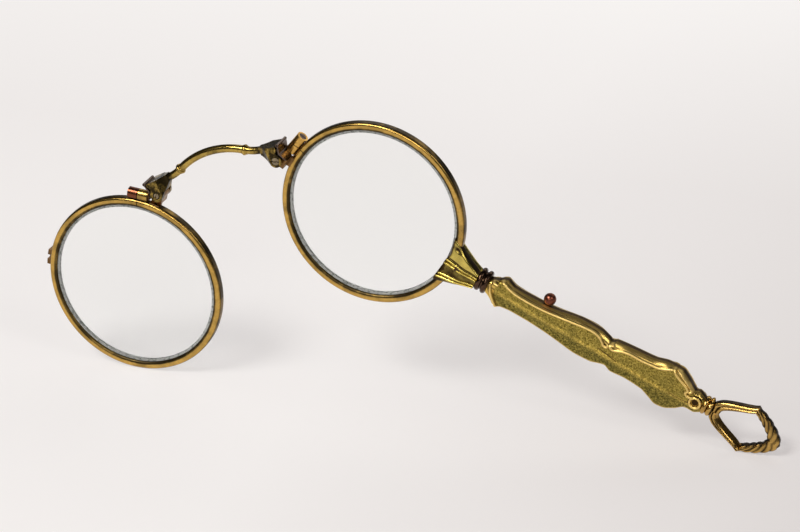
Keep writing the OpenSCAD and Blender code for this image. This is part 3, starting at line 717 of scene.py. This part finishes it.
def station_curve(stations, where):
    """A smooth curve through the stations: cubic Hermite pieces with slopes that never overshoot."""
    x, y = np.array(stations, float).T
    step = np.diff(x)
    slope = np.diff(y) / step
    same = slope[1:] * slope[:-1] > 0
    both = np.where(same, slope[1:] + slope[:-1], 1)
    middle = np.where(same, 2 * slope[1:] * slope[:-1] / both, 0)
    tangent = np.concatenate([[slope[0]], middle, [slope[-1]]])
    k = np.clip(np.searchsorted(x, where, side="right") - 1, 0, len(step) - 1)
    t = (where - x[k]) / step[k]
    return ((1 + 2 * t) * (1 - t) ** 2 * y[k] + t * (1 - t) ** 2 * step[k] * tangent[k]
            + t * t * (3 - 2 * t) * y[k + 1] + t * t * (t - 1) * step[k] * tangent[k + 1])


print("half widths at the middle:", station_curve(UPPER_EDGE, np.array([52.0])).round(2),
      station_curve(LOWER_EDGE, np.array([52.0])).round(2))

# %% The distance to a drawn line


def smooth_line(points, steps=6):
    """A Catmull-Rom curve through the points, with a few steps in each stretch."""
    p = np.array(points, float)
    p = np.concatenate([[2 * p[0] - p[1]], p, [2 * p[-1] - p[-2]]])
    t = np.linspace(0, 1, steps, endpoint=False)[None, :, None]
    a, b, c, d = p[:-3, None], p[1:-2, None], p[2:-1, None], p[3:, None]
    curve = 0.5 * (2 * b + (c - a) * t + (2 * a - 5 * b + 4 * c - d) * t ** 2
                   + (3 * b - a - 3 * c + d) * t ** 3)
    return np.concatenate([curve.reshape(-1, 2), p[-2:-1]])


def distance_to_line(a, b, line):
    """The least distance from each grid point to the line's straight pieces, all at once."""
    start = line[:-1][:, None, None]
    step = (line[1:] - line[:-1])[:, None, None]
    gap = np.stack([a, b], axis=-1)[None] - start
    along = np.clip((gap * step).sum(-1) / np.maximum((step * step).sum(-1), 1e-9), 0, 1)
    return np.sqrt(((gap - along[..., None] * step) ** 2).sum(-1)).min(axis=0)


def nearest_line(a, b, lines):
    """The distance from each grid point to the nearest of several drawn lines."""
    return np.minimum.reduce([distance_to_line(a, b, smooth_line(line, 4)) for line in lines])


# %% Three simple shapes


def bead(distance, radius, height):
    """A rounded bead: height times the square root of 1 - (distance / radius)^2."""
    return height * np.sqrt(np.clip(1 - (distance / radius) ** 2, 0, 1))


def hump(distance, width, power=2):
    """A hump that is one in the middle: e to the power of minus (distance / width)^2."""
    return np.exp(-(distance / width) ** power)


def step_up(value, low, high):
    """A soft step from nought to one between two values."""
    t = np.clip((value - low) / (high - low), 0, 1)
    return t * t * (3 - 2 * t)


# %% The lines drawn on the handle
SCROLLS = [
    [(29.3, 1.5), (28.4, 1.6), (28.6, 2.1), (29.6, 2.75), (30.2, 2.7), (31.3, 2.2), (32.5, 1.85),
     (34.4, 1.6), (36.9, 1.55), (39.8, 1.65), (42.7, 2.0), (46.8, 2.6), (49.2, 2.95), (50.9, 2.95),
     (52.3, 2.55), (53.2, 1.9), (53.7, 1.35), (54.4, 1.3), (54.5, 1.8)],
    [(55.5, 2.4), (55.0, 2.1), (55.2, 1.6), (56.1, 1.5), (57.7, 2.25), (59.6, 2.6), (61.7, 2.6),
     (63.7, 2.8), (65.6, 3.05), (67, 3.65), (68.2, 4.35)],
    [(68.5, 4.6), (69, 3.9), (70.1, 3.25), (71.3, 2.7), (72.3, 2.2), (72.8, 1.6), (72.5, 1.0),
     (73.2, 0.5), (74.0, 0.6)],
    [(69.3, 4.8), (70.2, 4.3), (71.6, 3.4), (73, 2.6), (73.6, 2.0), (73.3, 1.5)],
    [(27.8, 0.6), (28.2, -0.2), (28.9, -1.2), (29.8, -2.2), (30.6, -3.0)],
]
SCRATCHES = [[(53.0, 0.2), (55.2, -0.1), (57.4, -0.5)], [(69.6, -0.75), (72, -0.85), (74.4, -0.5)]]
VOLUTE = (75.1, 0.05)
print("scrolls:", len(SCROLLS), "scratches:", len(SCRATCHES))

# %% The relief of the stamping


def stamped_relief(a, b, upper, lower):
    """The height, a panel and a border with the scrolls laid over them, and the four masks."""
    inner = station_curve(INNER_BEAD, a)
    side = b - station_curve(RIDGE, a)
    across = np.clip((b - inner) / np.maximum(upper - inner, 0.2), 0, 1)
    on_border = step_up(b - inner, -0.08, 0.12)
    nearest = nearest_line(a, b, SCROLLS)
    cut = nearest_line(a, b, SCRATCHES)
    scratch = hump(cut, 0.14)
    brink = hump(upper - b, 0.08)
    neck = 1 - step_up(a, 27.5, 28.6)

    panel = 1.62 - np.where(side > 0, 0.10 * side, -0.20 * side) + 0.07 * hump(side, 0.22)
    border = 1.62 - 0.45 * across ** 1.5 - 0.40 * hump(across - 0.10, 0.09)
    height = panel * (1 - on_border) + border * on_border
    height = np.maximum(height, 1.34 + bead(nearest, 0.36, 0.54)) - 0.06 * hump(cut, 0.07)
    height = height * (1 - neck) + 1.5 * neck

    # Painted shade in the border's grooves and beside the scrolls, and a painted dark reflection along
    # the upper edge. The scratches are darkened as well.
    darkening = (1.0 * hump(across - 0.13, 0.08) + 0.5 * hump(across - 0.52, 0.05)) * on_border
    hollow = darkening * step_up(nearest, 0.15, 0.3) + 0.8 * hump(nearest - 0.42, 0.07)
    hollow = hollow + 0.95 * brink + 0.95 * scratch
    ground = (1 - on_border) * step_up(nearest, 0.34, 0.42) * step_up(a, 29.0, 29.4)
    ground = ground * step_up(b + lower, 0.12, 0.3) * (1 - scratch)
    # Painted light on the panel: a band along the ridge, and the side above it brighter than the side
    # below
    facet = np.maximum(0.05 + 0.35 * step_up(side, -0.15, 0.15), hump(side + 0.12, 0.55))
    # A painted highlight on the scrolls' crests, a band of the rolled border and the lower edge
    rolled = 0.42 * on_border * step_up(across, 0.26, 0.4) * (1 - hump(across - 0.52, 0.07))
    painted_highlight = hump(nearest, 0.24, 4) + 0.8 * hump(b + lower - 0.24, 0.11) + rolled
    painted_highlight = painted_highlight * (1 - brink)
    return height, {"hollow": hollow, "ground": ground, "facet": facet, "painted_highlight": painted_highlight}


def add_volute(a, b, height, masks):
    """A beaded ring with a dished middle, from the distance to the volute's centre."""
    ring = np.hypot(a - VOLUTE[0], b - VOLUTE[1])
    outside = step_up(ring, 0.75, 0.9)
    dish = height * outside + 1.0 * (1 - outside)
    volute = np.maximum(dish, 1.45 + bead(ring - 1.12, 0.34, 0.5))
    height = np.where(ring < 1.5, volute, height)
    # Painted shade in the volute's dished middle and round its ring
    centre = 1.0 * (1 - step_up(ring, 0.6, 0.8))
    masks["hollow"] = masks["hollow"] + centre + 0.9 * hump(ring - 1.5, 0.1)
    masks["ground"] = masks["ground"] * step_up(ring, 1.45, 1.6)
    # The volute's bead gets the painted highlight too
    masks["painted_highlight"] = masks["painted_highlight"] * step_up(ring, 1.3, 1.5) + hump(ring - 1.1, 0.24, 4)
    return height, masks


# %% One shell from its relief
SHELL_ROWS = 560
SHELL_COLUMNS = 110
WALL_COLUMNS = 4
SEAM_HALF = 0.01
SHEET = 0.25
KNOB_SLOT = 41.0


def widen(x):
    """Repeats the first and last columns, for the walls below the shell's two edges."""
    return np.concatenate([np.repeat(x[:, :1], WALL_COLUMNS, 1), x,
                           np.repeat(x[:, -1:], WALL_COLUMNS, 1)], axis=1)


def round_edges(relief, from_upper, from_lower):
    """Rounds the relief over at both edges, by the root of 1 - (1 - e / r)^2 for a distance e."""
    top = np.sqrt(np.clip(1 - (1 - np.clip(from_upper / 0.85, 0, 1)) ** 2.2, 0, 1))
    low = np.sqrt(np.clip(1 - (1 - np.clip(from_lower / 0.3, 0, 1)) ** 2, 0, 1))
    n = 0.12 + (relief - 0.12) * top
    return 0.95 + (n - 0.95) * low


def make_shell(front):
    """The relief with its edges rounded, and a wall down to the seam below each of them. The back
    shell is the front one turned over, without the volute."""
    a = np.linspace(SHELL_START, SHELL_END, SHELL_ROWS)[:, None]
    upper, lower = station_curve(UPPER_EDGE, a), station_curve(LOWER_EDGE, a)
    across = np.linspace(0, 1, SHELL_COLUMNS)[None, :]
    across = across + 0.13 * np.sin(math.pi * across) - 0.035 * np.sin(2 * math.pi * across)
    b = -lower + (upper + lower) * across
    a, upper, lower = [x + 0 * b for x in (a, upper, lower)]
    relief, masks = stamped_relief(a, b, upper, lower)
    if front:
        relief, masks = add_volute(a, b, relief, masks)
    masks = {name: widen(np.clip(mask, 0, 1)) for name, mask in masks.items()}
    n = round_edges(relief, upper - b, b + lower)
    rise = np.linspace(0, 1, WALL_COLUMNS, endpoint=False)[None, :]
    low_wall = SEAM_HALF + (n[:, :1] - SEAM_HALF) * rise
    high_wall = SEAM_HALF + (n[:, -1:] - SEAM_HALF) * rise[:, ::-1]
    n = np.concatenate([low_wall, n, high_wall], axis=1)
    a, b = widen(a), widen(b)
    # Painted shade on the walls down to the seam, and in the knob's slot
    slot = (np.abs(a - KNOB_SLOT) < 1.5) & (b > 1.5) & (n < 0.5)
    masks["hollow"] = np.clip(masks["hollow"] + 0.9 * hump(n, 0.22) + 1.0 * slot, 0, 1)
    faces = grid_faces(*b.shape)
    return handle_frame(a, b, n if front else -n), faces[:, ::-1] if front else faces, masks


def build_shell(name, node, front):
    """Makes the shell's sheet, thickens it inwards into a thin wall, and dresses it."""
    points, faces, masks = make_shell(front)
    shell = make_piece(name, points, faces, masks, 50, closed=False)
    middle = np.array([p.normal for p in shell.data.polygons]).mean(axis=0)
    if (middle[1] < 0) != front:
        shell.data.flip_normals()
    wall = shell.modifiers.new("wall", "SOLIDIFY")
    wall.thickness = SHEET / 1000
    wall.offset = -1
    wall.use_even_offset = False
    return dress(shell, stamped_gilt, "right_half", node)


build_shell("handle_front_stamping", "handle_front_shell", True)
build_shell("handle_back_stamping", "handle_back_shell", False)

# %% [markdown]
# ## The fan that grips the rim
#
# A fan of sheet is folded over the rim and soldered. Its upper part is a smooth facet. Its lower part
# has two pairs of ribs that run together at the neck, with a scalloped end where they lap the rim.

# %% The fan's surface
FAN_START = RIM_IN
FAN_END = 25.0
FAN_RIM = 1.45
FAN_NECK = 1.85
FAN_CROWN = 0.42
FAN_SEAM = 0.25
RIBS = [(1.0, 0.6), (0.15, 0.05), (-2.7, -1.2), (-3.6, -1.75)]


def fan_edges(p):
    """Half widths above and below the middle line, from the rim at p = 0 to the neck at p = 1."""
    upper = 1.5 + 4.6 * (1 - p) ** 1.2
    lower = 2.1 + 3.1 * (1 - p) ** 1.15
    return upper, lower


def fan_relief(p, b, edge, rounding):
    """Front height = a crown from the rim to the neck, plus ribs, less two mouths and a dent. Painted
    shade lies beside the ribs, in the mouths and the dent, and round the edge."""
    crown = FAN_RIM + (FAN_NECK - FAN_RIM) * p ** 1.5 + FAN_CROWN * hump(p - 0.5, 0.25)
    line = np.minimum.reduce([np.abs(b - (rim + (neck - rim) * p)) for rim, neck in RIBS])
    line = line / (1 - 0.35 * p)
    mouth = hump(b - 0.55, 0.45) + hump(b + 3.15 - 1.4 * p, 0.45)
    mouth = mouth * (1 - step_up(p, 0.02, 0.4)) * (1 - bead(line, 0.45, 1.0))
    dent = np.exp(-((b - 4.3 + 1.2 * p) / 0.5) ** 2 - ((p - 0.17) / 0.11) ** 2)
    front = FAN_SEAM + (crown - FAN_SEAM) * rounding + bead(line, 0.34, 0.34)
    front = front - 0.45 * mouth - 0.35 * dent
    # Painted shade: darker beside the ribs, in the mouths and the dent, at the end on the rim and
    # round the edge
    beside = (b < 1.7 - 0.6 * p) * (line > 0.3)
    darkening = 0.75 * beside * step_up(line, 0.28, 0.42) + 0.8 * np.clip(mouth, 0, 1) + 0.95 * dent
    return front, darkening + 0.9 * hump(p, 0.035) + 0.9 * step_up(edge, 0.93, 0.97)


def close_end(row):
    """A row in which every value is the mean of the end row's values, so that it is one point."""
    return row.mean(axis=1, keepdims=True) + 0 * row


def make_fan():
    """Lays the relief over the front and a smooth dome over the back, and closes both ends."""
    rows, columns = 120, 260
    p = np.linspace(0, 1, rows)[:, None]
    across = np.linspace(0, 1, columns)[None, :]
    upper, lower = fan_edges(p)
    b = -lower + (upper + lower) * across
    scallop = 0.6 * np.abs(np.sin(math.pi * np.clip((across - 0.02) / 0.31, 0, 2))) ** 0.6
    bow = (b + HANDLE_OFFSET) ** 2 / (2 * RIM_IN)
    a = FAN_START - scallop * (1 - p) - bow * (1 - p) + (FAN_END - FAN_START) * p
    edge = np.abs(2 * across - 1)
    rounding = np.clip(1 - edge ** 16, 0, 1) ** 0.5
    front, darkening = fan_relief(p, b, edge, rounding)
    back = -FAN_SEAM - (1.17 + 0.4 * p) * rounding
    pairs = [(a, a), (b, b), (front, back), (darkening, 0 * darkening)]
    *place, dark = [np.concatenate([x, y[:, ::-1]], axis=1) for x, y in pairs]
    place = [np.concatenate([close_end(x[:1]), x, close_end(x[-1:])]) for x in place]
    dark = np.concatenate([dark[:1], dark, dark[-1:]])
    faces = grid_faces(*dark.shape, join_columns=True)
    fan = make_piece("fan_stamping", handle_frame(*place), faces,
                     {"hollow": np.clip(dark, 0, 1)}, 50)
    return dress(fan, fan_gilt, "right_half", "ferrule")


make_fan()

# %% [markdown]
# ## The ribbon loop
#
# The loop is one bar that runs round an eye: two straight bars with a groove along them, from the
# collar to two pointed tips, and a twisted part that joins the tips round the far end. The bar's
# cross-section is carried round between an inner and an outer curve. On the twisted part, slanting
# waves raise the surface as strands do on a rope.

# %% The loop's surface
LOOP_START = 78.6
OUTER_BAR = [(0.0, 0.0), (0.0, 1.5), (0.4, 2.1), (1.3, 2.85), (3.1, 3.7), (5.7, 4.65), (7.3, 5.3),
             (8.1, 5.78)]
OUTER_ROPE = [(8.1, 5.78), (8.7, 5.35), (10.1, 4.85), (12.1, 3.75), (13.9, 2.35), (15.0, 1.0),
              (15.35, 0.0)]
INNER_BAR = [(1.8, 0.0), (2.1, 0.9), (3.4, 1.8), (5.4, 2.8), (7.2, 3.6), (8.1, 4.15)]
INNER_ROPE = [(8.1, 4.15), (8.8, 3.6), (9.8, 2.9), (10.8, 2.05), (11.7, 1.25), (12.2, 0.5),
              (12.35, 0.0)]
BAR_STEPS = 110
ROPE_STEPS = 150
SECTION_STEPS = 72
STRANDS = 4.6


def even_points(points, count):
    """Points at even steps of length along a smooth curve."""
    line = smooth_line(points, 10)
    length = np.concatenate([[0], np.cumsum(np.hypot(*np.diff(line, axis=0).T))])
    s = np.linspace(0, length[-1], count)
    return np.stack([np.interp(s, length, line[:, k]) for k in (0, 1)], axis=1)


def round_the_eye(bar, rope):
    """The bar and then the rope on the upper side, and back along their mirror image."""
    half = np.concatenate([even_points(bar, BAR_STEPS)[:-1], even_points(rope, ROPE_STEPS)])
    return np.concatenate([half, half[-2:0:-1] * [1, -1]])


def squared(value, power):
    """Keeps the sign and raises the size to a power, which squares a circle off."""
    return np.sign(value) * np.abs(value) ** power


def make_loop():
    """Point = inner + (outer - inner) q, with q and n from a squared section, grooved or twisted."""
    outer, inner = round_the_eye(OUTER_BAR, OUTER_ROPE), round_the_eye(INNER_BAR, INNER_ROPE)
    rows, last = len(outer), len(outer) // 2
    step = np.arange(rows)
    t = np.minimum(step, rows - step) / last
    tip = (BAR_STEPS - 1) / last
    twisted = step_up(t, tip + 0.02, tip + 0.08)[:, None]
    around = np.linspace(0, 2 * math.pi, SECTION_STEPS, endpoint=False)[None, :]
    q = 0.5 - 0.5 * squared(np.cos(around), 0.8)
    groove = hump(q - 0.5, 0.10) * (1 - twisted)
    wave = np.cos(2 * math.pi * (STRANDS * (t[:, None] - tip) / (1 - tip) + 2.3 * (q - 0.5)))
    strand = (0.5 + 0.5 * wave) ** 0.6
    n = squared(np.sin(around), 0.62) * (1 - 0.30 * groove) * (1 - 0.22 * twisted * (1 - strand))
    q = 0.5 + (q - 0.5) * (1 - 0.10 * twisted * (1 - strand))
    # The lower bar has a slanting flat along its inner side
    slant = 0.42 * (step > last + 1)[:, None] * (1 - twisted) * (0.5 + 0.5 * n)
    q = slant + (1 - slant) * q
    place = inner[:, None] + (outer - inner)[:, None] * q[..., None]
    # Painted shade in the bar's groove, between the rope's strands and on the inner and outer walls
    dark = 0.9 * groove + 0.85 * twisted * (1 - strand) ** 1.5
    dark = dark + 1.0 * hump(q, 0.15) + 0.9 * hump(1 - q, 0.07)
    points = handle_frame(LOOP_START + place[..., 0], place[..., 1], n)
    faces = grid_faces(rows, SECTION_STEPS, join_rows=True, join_columns=True)
    loop = make_piece("twisted_loop", points, faces, {"hollow": np.clip(dark, 0, 1)}, 60)
    return dress(loop, loop_gilt, "right_half", "ribbon_loop")


make_loop()

# %% [markdown]
# ## The end collar and the hinge screws
#
# Between the handle and the loop sits a turned double ring with a small ball on its upper side.
# Each hinge turns on a screw whose head has a slot, filed straight across it.

# %% The turned ring
COLLAR_START = 76.5
COLLAR_END = 78.75
COLLAR_CORE = 1.45


def make_end_collar():
    """Radius = a core plus two beads along A, plus one round bump on the upper side."""
    a = np.linspace(COLLAR_START, COLLAR_END, 70)[:, None]
    turn = np.linspace(0, 2 * math.pi, 120, endpoint=False)[None, :]
    beads = bead(a - 77.1, 0.52, 0.55) + bead(a - 78.15, 0.48, 0.42)
    ball = bead(np.hypot(a - 78.0, 1.9 * (turn - math.pi / 2)), 0.6, 0.55)
    # Painted shade on the core between and beside the beads
    dark = np.clip(1.0 - beads / 0.25, 0, 1) + 0 * turn
    a, radius, dark = [np.concatenate([x[:1], x, x[-1:]])
                       for x in (a + 0 * turn, COLLAR_CORE + beads + ball, dark)]
    radius[[0, -1]] = 0
    points = handle_frame(a, radius * np.sin(turn), radius * np.cos(turn))
    faces = grid_faces(*radius.shape, join_columns=True)
    collar = make_piece("turned_end_collar", points, faces, {"hollow": dark})
    return dress(collar, loop_gilt, "right_half", "end_collar")


make_end_collar()

# %% The slotted screws
SLOT_DEPTH = 0.3
HEAD_EDGE = 0.08


def make_screw(name, node, side, slot_angle):
    """A pin with a flat head at each end, as wide and as long as its CAD solid. The front head is
    cut where the distance to the slot's line is small."""
    solid = nodes[node]
    corners = np.array([solid.matrix_world @ Vector(corner) for corner in solid.bound_box])
    head = (corners[:, 0].max() - corners[:, 0].min()) * 500
    front = STAND[1] - corners[:, 1].min() * 1000 - LAYER / 2
    back = STAND[1] - corners[:, 1].max() * 1000 - LAYER / 2
    turn = np.linspace(0, 2 * math.pi, 144, endpoint=False)[None, :]
    face = np.linspace(0, 0.93, 40)
    radius = np.concatenate([face, [1, 1, 0.93, 0.0]])[:, None] * head
    shank = [front - HEAD_EDGE, back + HEAD_EDGE, back, back]
    height = np.concatenate([np.full(len(face), front), shank])[:, None] + 0 * turn
    x, y = radius * np.cos(turn), radius * np.sin(turn)
    angle = math.radians(slot_angle)
    gap = np.abs(y * math.cos(angle) - x * math.sin(angle))
    # Painted shade in the slot
    cut = (1 - step_up(gap, 0.13, 0.18)) * (np.arange(len(radius))[:, None] <= len(face))
    points = bridge_frame(side * HALF_SPAN + x, y, height - SLOT_DEPTH * cut)
    faces = grid_faces(*cut.shape, join_columns=True)
    screw = make_piece(name, points, faces, {"hollow": cut}, 35)
    return dress(screw, screw_steel, "bridge_arm", node)


make_screw("right_slotted_screw", "right_hinge_screw", 1, -14)
make_screw("left_slotted_screw", "left_hinge_screw", -1, 35)

# %% [markdown]
# ## Floor, lamps and camera
#
# The lorgnette stands on pale paper under soft studio light. Metal shows what stands round it, so
# the world is dim: it gives the gold its dark reflections. Large lamps give the long highlights.

# %% The floor
FLOOR_DROP = 0.02


def make_floor():
    """A sheet of paper, 4 metres wide, a little darker to the right, as a lamp on the left leaves
    it. Part of its tone goes only to the camera and to reflections, so its shadows stay soft."""
    size = np.linspace(-2.0, 2.0, 9)
    x, y = np.meshgrid(size, size, indexing="ij")
    points = np.stack([x, y, 0 * x - FLOOR_DROP / 1000], axis=-1)
    mesh = bpy.data.meshes.new("paper")
    mesh.from_pydata(points.reshape(-1, 3).tolist(), [], grid_faces(*x.shape).tolist())
    floor = bpy.data.objects.new("paper", mesh)
    bpy.context.scene.collection.objects.link(floor)
    material, tree, shader, place = start_material("pale paper", 0.0)
    split = tree.nodes.new("ShaderNodeSeparateXYZ")
    tree.links.new(place, split.inputs["Vector"])
    right = add_range(tree, split.outputs["X"], -0.02, 0.13)
    near = add_range(tree, split.outputs["Y"], 0.30, 0.02)
    far = add_range(tree, split.outputs["Y"], 0.12, 0.42)
    shade = add_math(tree, "MULTIPLY", add_math(tree, "MULTIPLY", right, near), 0.75)
    # Painted light: the paper is lighter further back
    paper = add_mix(tree, far, (0.60, 0.575, 0.57, 1), (0.83, 0.82, 0.81, 1))
    paper = add_mix(tree, shade, paper, (0.33, 0.295, 0.295, 1))
    fade = add_range(tree, add_vector_math(tree, "LENGTH", place), 0.65, 1.5, 1.0, 0.12)
    ray = tree.nodes.new("ShaderNodeLightPath").outputs
    seen = add_math(tree, "MAXIMUM", ray["Is Camera Ray"], ray["Is Glossy Ray"])
    seen = add_math(tree, "MAXIMUM", seen, ray["Is Transmission Ray"])
    tree.links.new(paper, shader.inputs["Emission Color"])
    tree.links.new(add_math(tree, "MULTIPLY", seen, fade), shader.inputs["Emission Strength"])
    shader.inputs["Base Color"].default_value = (0.32, 0.315, 0.31, 1)
    cloud = add_noise(tree, place, 0.01, 3.0)
    tree.links.new(add_range(tree, cloud, 0.3, 0.7, 0.75, 0.9), shader.inputs["Roughness"])
    floor.data.materials.append(material)
    return floor


make_floor()

# %% The lamps and the world


def add_lamp(name, where, aim, size, power, tint=(1.0, 0.98, 0.95)):
    """An oblong lamp at a place, turned to face a point, with its light spread over its face."""
    data = bpy.data.lights.new(name, "AREA")
    data.shape = "RECTANGLE"
    data.size, data.size_y = size
    data.energy = power
    data.color = tint
    lamp = bpy.data.objects.new(name, data)
    lamp.location = where
    way = np.array(aim, float) - np.array(where, float)
    lamp.rotation_euler = Vector(way).to_track_quat("-Z", "Y").to_euler()
    bpy.context.scene.collection.objects.link(lamp)
    return lamp


AIM = (0.0, 0.0, 0.03)
add_lamp("key", (-0.35, -0.62, 0.95), AIM, (0.5, 0.3), 9.0)
add_lamp("fill", (0.95, -0.40, 0.80), AIM, (0.3, 0.5), 3.0, (1.0, 0.97, 0.93))
add_lamp("front card", (0.08, -1.1, 0.62), AIM, (0.6, 0.3), 3.2, (1.0, 0.94, 0.84))
add_lamp("back panel", (0.05, 1.0, 0.75), AIM, (1.5, 0.55), 3.4)

world = bpy.data.worlds.new("studio")
bpy.context.scene.world = world
world.use_nodes = True
sky = world.node_tree.nodes["Background"].inputs
sky["Color"].default_value = (0.92, 0.94, 1.0, 1)
sky["Strength"].default_value = 0.035
bpy.context.scene.view_settings.view_transform = "Standard"

# %% [markdown]
# The camera looks from above and from the handle's side, far off with a long lens, so that the two
# rims look almost alike. Its place and its three directions are given in the plane of the lenses.

# %% The camera
PHOTO_WIDTH = 800.0
FOCAL_PIXELS = 3008.3
SENSOR = 36.0
EYE = (291.4, 153.1, 511.9)
RIGHT = (0.85064, -0.38415, -0.35896)
UP = (0.22437, 0.88269, -0.41293)
BACK = (0.47547, 0.27071, 0.83704)


def add_camera():
    """Turns the camera's place and directions from the plane of the lenses into the frame."""
    origin = lens_plane(0, 0, 0)
    place = lens_plane(*EYE)
    axes = [(lens_plane(*way) - origin) * 1000 for way in (RIGHT, UP, BACK)]
    turn = Matrix([Vector(axis).normalized() for axis in axes]).transposed()
    data = bpy.data.cameras.new("camera")
    data.sensor_fit = "HORIZONTAL"
    data.sensor_width = SENSOR
    data.lens = FOCAL_PIXELS * SENSOR / PHOTO_WIDTH
    data.clip_start = 0.01
    camera = bpy.data.objects.new("camera", data)
    camera.matrix_world = Matrix.Translation(Vector(place)) @ turn.to_4x4()
    bpy.context.scene.collection.objects.link(camera)
    bpy.context.scene.camera = camera
    return camera


camera = add_camera()
print("camera at", [round(c, 4) for c in camera.location])
